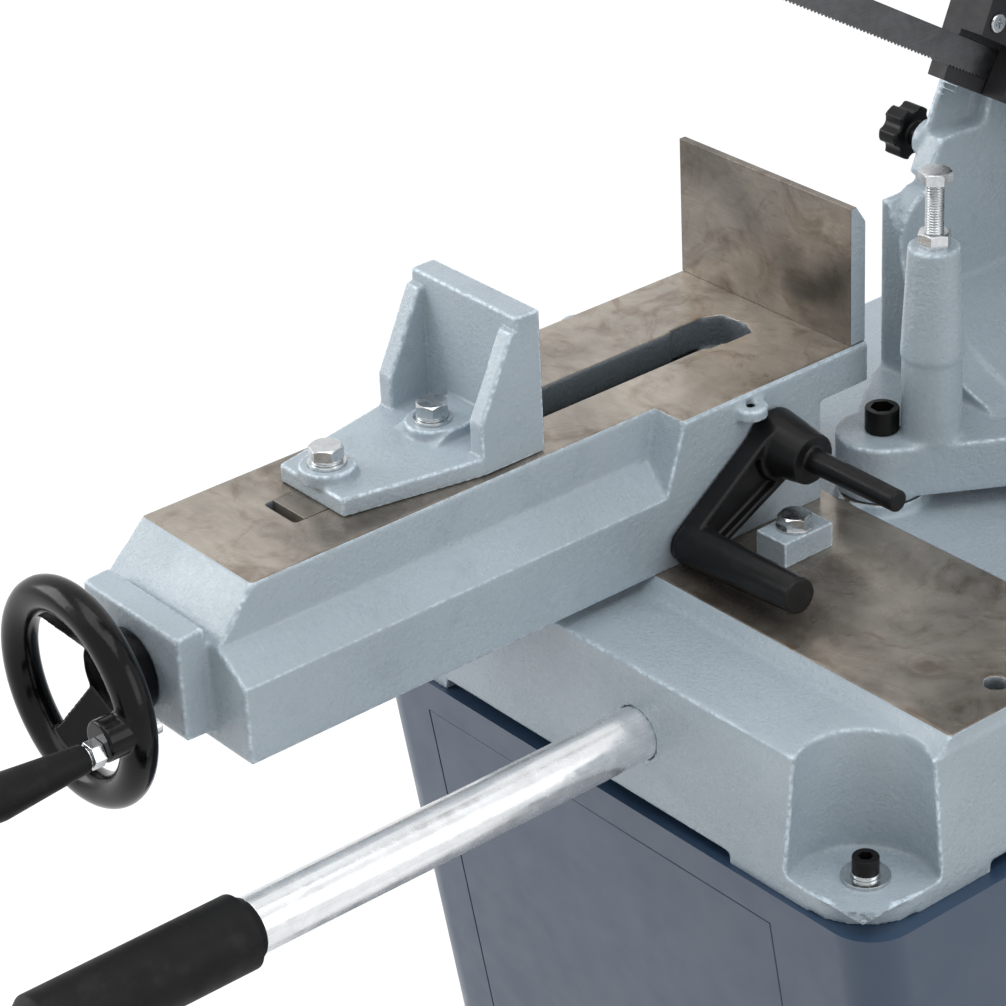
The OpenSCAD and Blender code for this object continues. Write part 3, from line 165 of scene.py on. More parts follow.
class FinishMaker:
    """Builds one finish from noise in the part's own coordinates."""

    def __init__(self, name):
        self.finish = bpy.data.materials.new(name)
        self.finish.use_nodes = True
        self.nodes = self.finish.node_tree.nodes
        self.links = self.finish.node_tree.links
        self.shader = self.nodes["Principled BSDF"]
        self.place = self.nodes.new("ShaderNodeTexCoord").outputs["Object"]

    def put(self, socket, value):
        """Sets a plain value on a socket, or links a pattern to it."""
        target = self.shader.inputs[socket]
        if isinstance(value, bpy.types.NodeSocket):
            self.links.new(value, target)
        else:
            target.default_value = value if isinstance(value, (int, float)) else (*value, 1)

    def moved(self, stretch, shift=(0, 0, 0)):
        """The part's own coordinates, stretched and then shifted."""
        mapping = self.nodes.new("ShaderNodeMapping")
        mapping.inputs["Location"].default_value = shift
        mapping.inputs["Scale"].default_value = stretch
        self.links.new(self.place, mapping.inputs["Vector"])
        return mapping.outputs["Vector"]

    def noise(self, scale, detail=3.0, rough=0.5, warp=0.0, stretch=None):
        node = self.nodes.new("ShaderNodeTexNoise")
        node.inputs["Scale"].default_value = scale
        node.inputs["Detail"].default_value = detail
        node.inputs["Roughness"].default_value = rough
        node.inputs["Distortion"].default_value = warp
        self.links.new(self.moved(stretch) if stretch else self.place, node.inputs["Vector"])
        return node.outputs["Fac"]

    def sum(self, way, first, second, third=0.0):
        """Joins two or three numbers or patterns with a Math node."""
        node = self.nodes.new("ShaderNodeMath")
        node.operation = way
        for socket, value in zip(node.inputs, (first, second, third)):
            if isinstance(value, bpy.types.NodeSocket):
                self.links.new(value, socket)
            else:
                socket.default_value = value
        return node.outputs[0]

    def axis(self, which):
        node = self.nodes.new("ShaderNodeSeparateXYZ")
        self.links.new(self.place, node.inputs[0])
        return node.outputs[which]

    def between(self, which, low, high):
        """1 where a coordinate lies between two values."""
        return self.sum("COMPARE", self.axis(which), (low + high) / 2, (high - low) / 2)

    def blot(self, centre, reach, flat=(1, 1, 1)):
        """A soft ragged spot that fades out at a distance from a point."""
        offset = tuple(-c * k for c, k in zip(centre, flat))
        mapping = self.moved(flat, offset)
        far = self.nodes.new("ShaderNodeVectorMath")
        far.operation = "LENGTH"
        self.links.new(mapping, far.inputs[0])
        ragged = self.sum("MULTIPLY_ADD", self.noise(26, 5, 0.65, 0.8), reach * 1.4, far.outputs["Value"])
        return self.spread(ragged, 1.0, 0.0, reach * 0.8, reach * 1.9)

    def ramp(self, factor, *stops):
        node = self.nodes.new("ShaderNodeValToRGB")
        while len(node.color_ramp.elements) < len(stops):
            node.color_ramp.elements.new(0.5)
        for element, (at, shade) in zip(node.color_ramp.elements, stops):
            element.position = at
            element.color = (*shade, 1)
        self.links.new(factor, node.inputs["Fac"])
        return node.outputs["Color"]

    def spread(self, factor, low, high, from_low=0.3, from_high=0.7):
        node = self.nodes.new("ShaderNodeMapRange")
        node.inputs["From Min"].default_value = from_low
        node.inputs["From Max"].default_value = from_high
        node.inputs["To Min"].default_value = low
        node.inputs["To Max"].default_value = high
        self.links.new(factor, node.inputs["Value"])
        return node.outputs["Result"]

    def mixed(self, factor, first, second, way="MIX"):
        node = self.nodes.new("ShaderNodeMix")
        node.data_type = "RGBA"
        node.blend_type = way
        for socket, value in ((node.inputs[0], factor), (node.inputs[6], first), (node.inputs[7], second)):
            if isinstance(value, bpy.types.NodeSocket):
                self.links.new(value, socket)
            elif isinstance(value, (int, float)):
                socket.default_value = value
            else:
                socket.default_value = (*value, 1)
        return node.outputs[2]

    def relief(self, *layers):
        """Stacks bumps, each given as height, strength and depth."""
        under = None
        for height, strength, depth in layers:
            node = self.nodes.new("ShaderNodeBump")
            node.inputs["Strength"].default_value = strength
            node.inputs["Distance"].default_value = depth
            self.links.new(height, node.inputs["Height"])
            if under:
                self.links.new(under, node.inputs["Normal"])
            under = node.outputs["Normal"]
        self.links.new(under, self.shader.inputs["Normal"])


def times(shade, factor):
    return tuple(min(1.0, c * factor) for c in shade)


def paint_pattern(f, shade, dark=None):
    """Colour, roughness and height of gloss paint over a sand casting, with bright rubbed edges that are
    partly a painted highlight, painted shade in hollow corners, and painted shade inside a dark place.
    """
    tone = f.ramp(f.noise(6, 3), (0.34, times(shade, 0.93)), (0.66, times(shade, 1.06)))
    grime = f.ramp(f.noise(30, 6, 0.66), (0.3, (0.78, 0.8, 0.82)), (0.45, (1, 1, 1)))
    pits = f.ramp(f.noise(420, 4, 0.7), (0.29, (0.5, 0.53, 0.56)), (0.37, (1, 1, 1)))
    colours = f.mixed(0.6, f.mixed(0.5, tone, grime, "MULTIPLY"), pits, "MULTIPLY")
    edge_bend = f.nodes.new("ShaderNodeAttribute")
    edge_bend.attribute_name = "bend_wear_highlight_shade"
    # Convex edges turn to a lighter copy of the paint: partly rubbed paint, partly a painted highlight.
    rubbed_and_lit = f.spread(edge_bend.outputs["Fac"], 0.0, 0.9, 0.16, 0.5)
    broken = f.sum("MULTIPLY", rubbed_and_lit, f.spread(f.noise(260, 4, 0.7), 0.0, 1.0, 0.4, 0.6))
    colours = f.mixed(broken, colours, times(shade, 1.85))
    # Hollow corners turn to a darker copy of the paint: painted shade.
    corner_shade = f.spread(edge_bend.outputs["Fac"], 0.5, 0.0, -0.5, -0.14)
    colours = f.mixed(corner_shade, colours, times(shade, 0.55))
    # Painted shade: much darker paint inside recesses, such as slots and holes.
    if dark:
        colours = f.mixed(dark, colours, times(shade, 0.3))
    grit = f.sum("MULTIPLY", f.noise(300, 5, 0.66), f.spread(f.noise(9, 2), 0.35, 1.0, 0.36, 0.58))
    return colours, f.spread(f.noise(90, 3), 0.2, 0.4), f.noise(55, 3), grit


def iron_pattern(f, shade, lines_along=(90, 1400, 90), stains=()):
    """Colour, roughness and height of machined cast iron with brown oil stains."""
    base = f.ramp(f.noise(7, 5, 0.62, 1.0), (0.3, times(shade, 0.42)), (0.45, times(shade, 0.8)),
                  (0.68, times(shade, 1.3)))
    stain = f.ramp(f.noise(24, 6, 0.68, 1.6), (0.34, (0.5, 0.4, 0.32)), (0.52, (1, 1, 1)))
    marks = f.ramp(f.noise(150, 5, 0.75, 2.0), (0.27, (0.3, 0.25, 0.2)), (0.33, (1, 1, 1)))
    lines = f.noise(1.0, 4, 0.6, stretch=lines_along)
    marked = f.mixed(0.6, f.mixed(0.75, base, stain, "MULTIPLY"), marks, "MULTIPLY")
    streaks = f.ramp(lines, (0.35, (0.7, 0.7, 0.7)), (0.65, (1.15, 1.13, 1.1)))
    colours = f.mixed(0.35, marked, streaks, "MULTIPLY")
    for centre, reach, strength in stains:
        oil = f.sum("MULTIPLY", f.blot(centre, reach), strength)
        colours = f.mixed(oil, colours, times(shade, 0.16))
    return colours, f.spread(f.noise(14, 4, 0.6, 0.8), 0.16, 0.4), lines


def sand_cast_paint(name, shade):
    """Gloss paint over a sand casting: dark pits, a pebbly skin, bright rubbed edges that are partly a painted
    highlight, and painted shade in hollow corners.
    """
    f = FinishMaker(name)
    colours, rough, swell, grit = paint_pattern(f, shade)
    f.put("Base Color", colours)
    f.put("Roughness", rough)
    f.put("Coat Weight", 0.3)
    f.put("Coat Roughness", 0.16)
    f.relief((swell, 0.3, 0.0012), (grit, 0.85, 0.0013))
    return f.finish


def ground_iron(name, shade):
    """Machined cast iron all over."""
    f = FinishMaker(name)
    colours, rough, lines = iron_pattern(f, shade)
    f.put("Base Color", colours)
    f.put("Metallic", 0.6)
    f.put("Roughness", rough)
    f.relief((lines, 0.25, 0.0001), (f.noise(30, 3), 0.2, 0.001))
    return f.finish


def part_ground(name, shade, iron, ground_place, lines_along=(90, 1400, 90), stains=(), painted_shade_places=None):
    """A painted casting that is machined at one place and has painted shade at another, each an axis and its
    two ends.
    """
    f = FinishMaker(name)
    ground = f.between(*ground_place)
    dark = None
    for place in painted_shade_places or ():
        inside = f.between(*place)
        dark = f.sum("MULTIPLY", dark, inside) if dark else inside
    paint, paint_rough, swell, grit = paint_pattern(f, shade, dark)
    metal, metal_rough, lines = iron_pattern(f, iron, lines_along, stains)
    f.put("Base Color", f.mixed(ground, paint, metal))
    rough = f.nodes.new("ShaderNodeMix")
    f.links.new(ground, rough.inputs[0])
    f.links.new(paint_rough, rough.inputs[2])
    f.links.new(metal_rough, rough.inputs[3])
    f.put("Roughness", rough.outputs[0])
    f.put("Metallic", f.sum("MULTIPLY", ground, 0.6))
    f.put("Coat Weight", 0.25)
    f.put("Coat Roughness", 0.2)
    height = f.nodes.new("ShaderNodeMix")
    f.links.new(ground, height.inputs[0])
    f.links.new(grit, height.inputs[2])
    height.inputs[3].default_value = 0.35
    f.relief((swell, 0.3, 0.0010), (height.outputs[0], 0.85, 0.0013))
    return f.finish


def sheet_paint(name, shade, gloss=0.36):
    """Even paint on sheet metal with a faint orange peel."""
    f = FinishMaker(name)
    tone = f.ramp(f.noise(3, 3), (0.35, times(shade, 0.93)), (0.65, times(shade, 1.07)))
    scuff = f.ramp(f.noise(70, 6, 0.7, 0.5), (0.66, (1, 1, 1)), (0.74, (1.25, 1.25, 1.25)))
    f.put("Base Color", f.mixed(0.5, tone, scuff, "MULTIPLY"))
    f.put("Roughness", f.spread(f.noise(40, 3), gloss - 0.05, gloss + 0.07))
    f.put("Coat Weight", 0.15)
    f.put("Coat Roughness", 0.2)
    f.relief((f.noise(420, 2), 0.12, 0.0002), (f.noise(9, 2), 0.12, 0.004))
    return f.finish


def plated(name, shade, rough=0.3, lines=(300, 300, 300), metal=1.0, even=0.8):
    """Plated or bare steel with cloudy changes and fine drawing lines."""
    f = FinishMaker(name)
    cloud = f.ramp(f.noise(60, 5, 0.65, 0.6), (0.3, times(shade, even)), (0.62, times(shade, 1.08)))
    grain = f.noise(1.0, 4, 0.6, stretch=lines)
    drawn = f.ramp(grain, (0.35, (0.75, 0.75, 0.75)), (0.65, (1.1, 1.1, 1.1)))
    f.put("Base Color", f.mixed(0.35, cloud, drawn, "MULTIPLY"))
    f.put("Metallic", metal)
    f.put("Roughness", f.spread(f.noise(120, 4), rough - 0.06, rough + 0.1))
    f.relief((grain, 0.2, 0.0001), (f.noise(220, 3), 0.1, 0.0002))
    return f.finish


def moulded(name, shade, rough=0.3, grain=700, depth=0.15):
    """Moulded plastic, rubber or lacquer with a fine grain and wiped dust."""
    f = FinishMaker(name)
    dust = f.ramp(f.noise(45, 5, 0.6), (0.55, shade), (0.8, tuple(c + 0.012 for c in shade)))
    f.put("Base Color", dust)
    f.put("Roughness", f.spread(f.noise(80, 4), rough - 0.05, rough + 0.1))
    f.put("Specular IOR Level", 0.2)
    f.relief((f.noise(grain, 3), depth, 0.0002), (f.noise(60, 2), 0.08, 0.0008))
    return f.finish


def finish(slot):
    """Gives the finish of a slot, and makes it when it is first asked for."""
    if slot in FINISHES:
        return FINISHES[slot]
    c = bpy.context.scene.band_saw_colours
    makers = {
        "cast_paint": lambda n: sand_cast_paint(n, tuple(c.casting)),
        "cover_paint": lambda n: sheet_paint(n, times(c.casting, 1.08), 0.3),
        "machined_iron": lambda n: ground_iron(n, tuple(c.iron)),
        "stand_paint": lambda n: sheet_paint(n, tuple(c.stand)),
        "dark_frame": lambda n: sheet_paint(n, colour(42, 47, 54), 0.42),
        "tank_paint": lambda n: sheet_paint(n, colour(78, 88, 99), 0.42),
        "box_grey": lambda n: sheet_paint(n, colour(196, 200, 202), 0.4),
        "motor_paint": lambda n: sand_cast_paint(n, colour(84, 94, 104)),
        "zinc": lambda n: plated(n, tuple(c.zinc), 0.24),
        "bright_steel": lambda n: plated(n, colour(176, 176, 178), 0.28, (900, 90, 900)),
        "blade_steel": lambda n: plated(n, colour(98, 99, 101), 0.36, (900, 60, 900)),
        "wheel_iron": lambda n: plated(n, colour(110, 112, 114), 0.42),
        "chrome_tube": lambda n: plated(n, tuple(c.chrome), 0.22, (420, 9, 420), 0.7, 0.92),
        "bronze": lambda n: plated(n, colour(196, 152, 86), 0.3),
        "black_oxide": lambda n: plated(n, tuple(c.oxide), 0.36, metal=0.7),
        "gloss_black": lambda n: moulded(n, tuple(c.gloss_black), 0.16, 900, 0.06),
        "black_plastic": lambda n: moulded(n, colour(19, 19, 20), 0.32),
        "black_rubber": lambda n: moulded(n, tuple(c.rubber), 0.52, 1100, 0.3),
        "guide_black": lambda n: moulded(n, colour(47, 47, 49), 0.44, 420, 0.5),
        "dark_plastic": lambda n: moulded(n, colour(46, 47, 50), 0.42),
        "green_plastic": lambda n: moulded(n, colour(40, 128, 66), 0.26),
        "red_plastic": lambda n: moulded(n, colour(186, 28, 24), 0.26),
    }
    FINISHES[slot] = makers[slot](slot + "_finish")
    return FINISHES[slot]


# Modelling helpers


def fresh():
    """Clears the selection before a primitive is added."""
    if bpy.context.object and bpy.context.object.mode != "OBJECT":
        bpy.ops.object.mode_set(mode="OBJECT")
    bpy.ops.object.select_all(action="DESELECT")


def pick(piece):
    """Leaves only this piece selected and active."""
    fresh()
    piece.select_set(True)
    bpy.context.view_layer.objects.active = piece


def edit(piece, action="SELECT"):
    """Opens a piece in edit mode, with all of it selected or none."""
    pick(piece)
    bpy.ops.object.mode_set(mode="EDIT")
    bpy.ops.mesh.select_all(action=action)


def bake(piece):
    """Bakes a piece's place, turn and scale into its mesh."""
    pick(piece)
    bpy.ops.object.transform_apply(location=True, rotation=True, scale=True)
    return piece


def apply(piece, kind, **settings):
    """Adds a modifier and applies it."""
    pick(piece)
    modifier = piece.modifiers.new(kind.title(), kind)
    for key, value in settings.items():
        setattr(modifier, key, value)
    bpy.ops.object.modifier_apply(modifier=modifier.name)


def smooth(piece, angle=38):
    """Shades the round faces smooth and keeps the flat ones flat."""
    pick(piece)
    bpy.ops.object.shade_smooth_by_angle(angle=math.radians(angle))
    apply(piece, "WEIGHTED_NORMAL", keep_sharp=True)


def joined(pieces, name):
    """Joins pieces into one."""
    fresh()
    for piece in pieces:
        piece.select_set(True)
    bpy.context.view_layer.objects.active = pieces[0]
    bpy.ops.object.join()
    whole = bpy.context.object
    whole.name = name
    return whole


def placed(piece, matrix):
    """Moves a piece and bakes its place into its mesh."""
    piece.matrix_world = matrix @ piece.matrix_world
    return bake(piece)


def fitted(piece, slot, *nodes):
    """Hands a finished piece to the frame in place of its nodes."""
    body = frame["nodes"][nodes[0]]["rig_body"]
    if not piece.data.materials:
        piece.data.materials.append(finish(slot))
    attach(piece, body)
    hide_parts(*nodes)
    return piece


def rounded(piece, radius, is_cut=None, limit=28):
    """Rounds the hard edges, and breaks the edges of machined faces only a little."""
    mesh = piece.data
    weights = mesh.attributes.new("bevel_weight_edge", "FLOAT", "EDGE")
    shape = bmesh.new()
    shape.from_mesh(mesh)
    for edge in shape.edges:
        if len(edge.link_faces) == 2 and edge.calc_face_angle(0) > math.radians(limit):
            cut = is_cut and any(is_cut(f.calc_center_median(), f.normal) for f in edge.link_faces)
            weights.data[edge.index].value = sizes().cut_edge / radius if cut else 1.0
    shape.free()
    apply(piece, "BEVEL", width=radius, segments=3, limit_method="WEIGHT", use_clamp_overlap=True,
          loop_slide=True)


def skin(node):
    """Copies a node's mesh into a piece of its own."""
    piece = bpy.data.objects.new(node + "_skin", frame["nodes"][node].data.copy())
    bpy.context.scene.collection.objects.link(piece)
    pick(piece)
    return piece


def dress(node, slot, radius=0.0, is_cut=None, cut_slot="machined_iron", angle=38):
    """Copies a node's mesh, merges it, rounds its edges and gives it its finish."""
    piece = skin(node)
    bpy.ops.mesh.customdata_custom_splitnormals_clear()
    piece.data.materials.clear()
    piece.data.materials.append(finish(slot))
    edit(piece)
    bpy.ops.mesh.remove_doubles(threshold=MERGE)
    bpy.ops.mesh.dissolve_limited(angle_limit=math.radians(0.7))
    bpy.ops.object.mode_set(mode="OBJECT")
    for face in piece.data.polygons:
        face.material_index = 0
    if is_cut:
        piece.data.materials.append(finish(cut_slot))
        for face in piece.data.polygons:
            face.material_index = 1 if is_cut(face.center, face.normal) else 0
    if radius:
        rounded(piece, radius, is_cut)
    smooth(piece, angle)
    return fitted(piece, slot, node)


def sizes():
    return bpy.context.scene.band_saw_sizes


def read(items, name, width, kind=float):
    """Reads one property of all the points or edges of a mesh into rows."""
    values = np.empty(len(items) * width, dtype=kind)
    items.foreach_get(name, values)
    return values.reshape(-1, width)


def mark_edges(piece, reach=0.0022):
    """Writes how convex the surface is at each point, for the paint's rubbed edges with their painted
    highlight and for painted shade in hollow corners.
    """
    mesh = piece.data
    count = len(mesh.vertices)
    points = read(mesh.vertices, "co", 3)
    normals = read(mesh.vertices, "normal", 3)
    edges = read(mesh.edges, "vertices", 2, np.int32)
    both_ways = ((edges[:, 0], edges[:, 1]), (edges[:, 1], edges[:, 0]))
    bend = np.zeros(count)
    number = np.zeros(count)
    for a, b in both_ways:
        step = points[b] - points[a]
        far = np.maximum(1e-9, (step ** 2).sum(axis=1))
        np.add.at(bend, a, -2 * (normals[a] * step).sum(axis=1) / far)
        np.add.at(number, a, 1)
    bend = bend / np.maximum(number, 1) * reach
    for _ in range(2):
        shared = np.zeros(count)
        for a, b in both_ways:
            np.add.at(shared, a, bend[b])
        bend = 0.5 * bend + 0.5 * shared / np.maximum(number, 1)
    wear_and_shade = mesh.attributes.new("bend_wear_highlight_shade", "FLOAT", "POINT")
    wear_and_shade.data.foreach_set("value", np.clip(bend, -1, 1).astype(np.float32))


def cast(node, slot, grain, rounds=6, share=1.0, look=None, forms=()):
    """Flows the edges and corners of a node's mesh, or of the forms that stand for it, round."""
    if forms:
        piece = joined(forms, node + "_skin")
    else:
        piece = skin(node)
        edit(piece)
        bpy.ops.mesh.remove_doubles(threshold=MERGE)
        bpy.ops.object.mode_set(mode="OBJECT")
    piece.data.materials.clear()
    apply(piece, "REMESH", mode="VOXEL", voxel_size=grain)
    apply(piece, "SMOOTH", factor=0.5, iterations=rounds)
    if share < 1:
        apply(piece, "DECIMATE", ratio=share)
    piece.data.materials.clear()
    piece.data.materials.append(look or finish(slot))
    mark_edges(piece)
    pick(piece)
    bpy.ops.object.shade_smooth()
    return fitted(piece, slot, node)


# Small parts


def washer(radius, hole, height, low, gap_angle=0.0):
    """A flat washer, or a spring washer where it has a gap."""
    fresh()
    bpy.ops.mesh.primitive_plane_add(size=1, location=(0, 0, 0))
    ring = bpy.context.object
    edit(ring)
    bpy.ops.transform.rotate(value=math.pi / 2, orient_axis="X", center_override=(0, 0, 0))
    bpy.ops.object.mode_set(mode="OBJECT")
    for vertex in ring.data.vertices:
        vertex.co.x = hole + (vertex.co.x + 0.5) * (radius - hole)
        vertex.co.z = low + (vertex.co.z + 0.5) * height
        vertex.co.y = 0
    edit(ring)
    bpy.ops.mesh.delete(type="ONLY_FACE")
    bpy.ops.mesh.select_all(action="SELECT")
    turn = 2 * math.pi - gap_angle
    bpy.ops.mesh.spin(steps=48, angle=turn, center=(0, 0, 0), axis=(0, 0, 1), dupli=False)
    bpy.ops.mesh.select_all(action="SELECT")
    bpy.ops.mesh.remove_doubles(threshold=0.00001)
    if gap_angle:
        bpy.ops.mesh.select_all(action="DESELECT")
        bpy.ops.mesh.select_non_manifold()
        bpy.ops.mesh.fill()
    bpy.ops.mesh.select_all(action="SELECT")
    bpy.ops.mesh.normals_make_consistent(inside=False)
    bpy.ops.object.mode_set(mode="OBJECT")
    apply(ring, "BEVEL", width=height * 0.18, segments=2, limit_method="ANGLE", angle_limit=math.radians(50))
    return ring


def block(middle, size, turn=0.0):
    """A rough box for cutting or for joining to a casting."""
    fresh()
    bpy.ops.mesh.primitive_cube_add(size=1, location=middle, rotation=(0, 0, turn))
    bpy.context.object.scale = size
    return bake(bpy.context.object)


def carved(piece, cutter, way="DIFFERENCE"):
    """Cuts a piece with another and removes the cutter."""
    apply(piece, "BOOLEAN", object=cutter, operation=way, solver="EXACT")
    bpy.data.objects.remove(cutter)
    return piece


def hex_head(low, height=HEX_HEIGHT, width=HEX_WIDTH):
    """A hexagon head or nut whose top corners are turned off."""
    middle = (0, 0, low + height / 2)
    fresh()
    bpy.ops.mesh.primitive_cylinder_add(vertices=6, radius=width / math.sqrt(3), depth=height, location=middle)
    head = bpy.context.object
    fresh()
    top = width * 0.47
    slope = height / math.tan(math.radians(28))
    bpy.ops.mesh.primitive_cone_add(vertices=72, radius1=top + slope, radius2=top, depth=height,
                                    location=middle)
    cone = bpy.context.object
    carved(head, cone, "INTERSECT")
    apply(head, "BEVEL", width=0.00035, segments=2, limit_method="ANGLE", angle_limit=math.radians(25),
          use_clamp_overlap=True)
    return head


def thread(radius, pitch, low, high):
    """A threaded rod: one ridge repeated up the rod, its ends closed."""
    root = radius - pitch * 0.5
    fresh()
    bpy.ops.mesh.primitive_circle_add(vertices=40, radius=root, location=(0, 0, low))
    bar = bpy.context.object
    edit(bar)
    for grow, rise in ((radius / root, 0.42), (1.0, 0.16), (root / radius, 0.42)):
        bpy.ops.mesh.extrude_region_move(TRANSFORM_OT_translate={"value": (0, 0, pitch * rise)})
        bpy.ops.transform.resize(value=(grow, grow, 1), center_override=(0, 0, low))
    bpy.ops.object.mode_set(mode="OBJECT")
    apply(bar, "ARRAY", count=max(1, round((high - low) / pitch)), use_relative_offset=False,
          use_constant_offset=True, constant_offset_displace=(0, 0, pitch), use_merge_vertices=True,
          merge_threshold=MERGE)
    edit(bar, "DESELECT")
    bpy.ops.mesh.select_non_manifold()
    bpy.ops.mesh.edge_face_add()
    bpy.ops.mesh.select_all(action="SELECT")
    bpy.ops.mesh.normals_make_consistent(inside=False)
    bpy.ops.object.mode_set(mode="OBJECT")
    return bar


def rod(radius, low, high, edge=0.0005, vertices=48):
    """A plain turned pin along Z with broken edges."""
    fresh()
    bpy.ops.mesh.primitive_cylinder_add(vertices=vertices, radius=radius, depth=high - low,
                                        location=(0, 0, (low + high) / 2))
    pin = bake(bpy.context.object)
    apply(pin, "BEVEL", width=edge, segments=2, limit_method="ANGLE", angle_limit=math.radians(40))
    return pin


def cap_head(radius, height, low, socket):
    """A cap screw's head with knurls round it and a hexagon socket."""
    count = sizes().knurls * 2
    head = rod(radius, low, low + height, radius * 0.07, count)
    for vertex in head.data.vertices:
        reach = math.hypot(vertex.co.x, vertex.co.y)
        place = round(math.atan2(vertex.co.y, vertex.co.x) / (2 * math.pi) * count)
        inside = low + height * 0.12 < vertex.co.z + 0.0001 and reach > radius * 0.97
        if inside and place % 2:
            vertex.co.x *= 0.975
            vertex.co.y *= 0.975
    fresh()
    bpy.ops.mesh.primitive_cylinder_add(vertices=6, radius=socket / math.sqrt(3), depth=height,
                                        location=(0, 0, low + height))
    return carved(head, bpy.context.object)


def cross_head(radius, height, low):
    """A domed screw head with a cross recess."""
    head = rod(radius, low, low + height, height * 0.42)
    for turn in (0, math.pi / 2):
        carved(head, block((0, 0, low + height), (radius * 1.05, radius * 0.24, height * 1.1), turn))
    return head


def bolt_set(name, slot, node, places, parts):
    """Copies one fastener to each of its places and joins the copies."""
    first = bake(joined([part() for part in parts], name))
    first.data.materials.clear()
    first.data.materials.append(finish(slot))
    copies = []
    for place in places:
        copy = bpy.data.objects.new(name, first.data.copy())
        bpy.context.scene.collection.objects.link(copy)
        copies.append(placed(copy, place))
    bpy.data.objects.remove(first)
    whole = joined(copies, name)
    smooth(whole, 32)
    return fitted(whole, slot, node)


def at(x, y, z, turn=0.0):
    return Matrix.Translation((x, y, z)) @ Matrix.Rotation(turn, 4, "Z")


# Parts


class SAW_OT_stand(bpy.types.Operator):
    """Rounds and paints the sheet metal stand, its front panel, floor frame and tank"""

    bl_idname = "saw.stand"
    bl_label = "Stand"

    def execute(self, context):
        dress("stand_shell", "stand_paint", sizes().sheet_edge, angle=30)
        dress("stand_front_panel", "stand_paint", 0.0007, angle=30)
        dress("floor_frame", "dark_frame", sizes().sheet_edge)
        dress("coolant_tank", "tank_paint", sizes().sheet_edge)
        return {"FINISHED"}


class SAW_OT_base(bpy.types.Operator):
    """Rounds the base casting, stains its slideway and paints shade inside the slideway's threaded hole"""

    bl_idname = "saw.base"
    bl_label = "Base casting"

    def execute(self, context):
        c = context.scene.band_saw_colours
        cast("base_casting", "cast_paint", 0.002, 3, 0.4,
             part_ground("slideway", tuple(c.casting), times(c.iron, 1.25),
                         (2, SLIDEWAY_Z - 0.0004, SLIDEWAY_Z + 0.001), (60, 60, 60),
                         (((0.04, -0.15, SLIDEWAY_Z), 0.07, 0.6), ((0.20, -0.13, SLIDEWAY_Z), 0.06, 0.35)),
                         # The last boxes: painted shade inside the threaded hole in the slideway.
                         ((0, 0.1945, 0.2095), (1, -0.1175, -0.1025), (2, 0.70, SLIDEWAY_Z - 0.0005))))
        cast("stop_block", "cast_paint", 0.001, 5)
        return {"FINISHED"}


class SAW_OT_base_fasteners(bpy.types.Operator):
    """Models the corner cap screws, their flat and spring washers, and the stop block's bolt"""

    bl_idname = "saw.base_fasteners"
    bl_label = "Base fasteners"

    def execute(self, context):
        turns = (-1.9, 0.6, 2.0, 3.0)
        places = ((side * CORNER_X, y) for y in CORNER_Y for side in (1, -1))
        corners = [at(*place, CORNER_Z, turn) for place, turn in zip(places, turns)]
        bolt_set("corner_washers", "zinc", "base_washers", corners,
                 [lambda: washer(0.015, 0.0051, 0.0024, 0.0),
                  lambda: washer(0.009, 0.0051, 0.0025, 0.0025, 0.14)])
        bolt_set("corner_screws", "black_oxide", "base_screws", corners,
                 [lambda: cap_head(0.0082, 0.010, 0.005, 0.008), lambda: rod(0.005, -0.023, 0.0052)])
        bolt_set("stop_block_screw", "zinc", "stop_block_bolt", [at(0.008, -0.0865, 0.799, 0.35)],
                 [lambda: washer(0.012, 0.0061, 0.002, 0.0), lambda: hex_head(0.002),
                  lambda: rod(0.006, -0.036, 0.0022)])
        return {"FINISHED"}


class SAW_OT_pull_handle(bpy.types.Operator):
    """Plates the pull handle's tube and rounds its rubber grip"""

    bl_idname = "saw.pull_handle"
    bl_label = "Pull handle"

    def execute(self, context):
        dress("pull_tube", "chrome_tube", sizes().turned_edge)
        dress("pull_grip", "black_rubber", sizes().moulded_edge)
        return {"FINISHED"}


class SAW_OT_vise_bed(bpy.types.Operator):
    """Rounds the vise bed, grinds its table and paints shade on the walls inside its slot"""

    bl_idname = "saw.vise_bed"
    bl_label = "Vise bed"

    def execute(self, context):
        c = context.scene.band_saw_colours
        cast("vise_bed", "cast_paint", 0.0016, 2, 0.6,
             part_ground("table", tuple(c.casting), times(c.iron, 1.32),
                         (2, TABLE_Z - 0.0004, TABLE_Z + 0.001), (70, 160, 70),
                         (((-0.06, -0.36, TABLE_Z), 0.035, 0.75), ((-0.075, -0.26, TABLE_Z), 0.03, 0.6)),
                         # The last boxes: painted shade on the walls inside the table's slot.
                         ((0, VISE_X - 0.045, VISE_X + 0.045), (1, -0.395, -0.02),
                          (2, 0.79, TABLE_Z - 0.0004))))
        dress("grub_screws", "black_oxide")
        dress("clamp_stud", "bright_steel", sizes().turned_edge)
        dress("screw_bush", "bronze", sizes().turned_edge)
        screw = dress("lead_screw", "bright_steel", sizes().turned_edge)
        for vertex in screw.data.vertices:
            vertex.co.y = max(vertex.co.y, WHEEL[1] + 0.024)
        return {"FINISHED"}


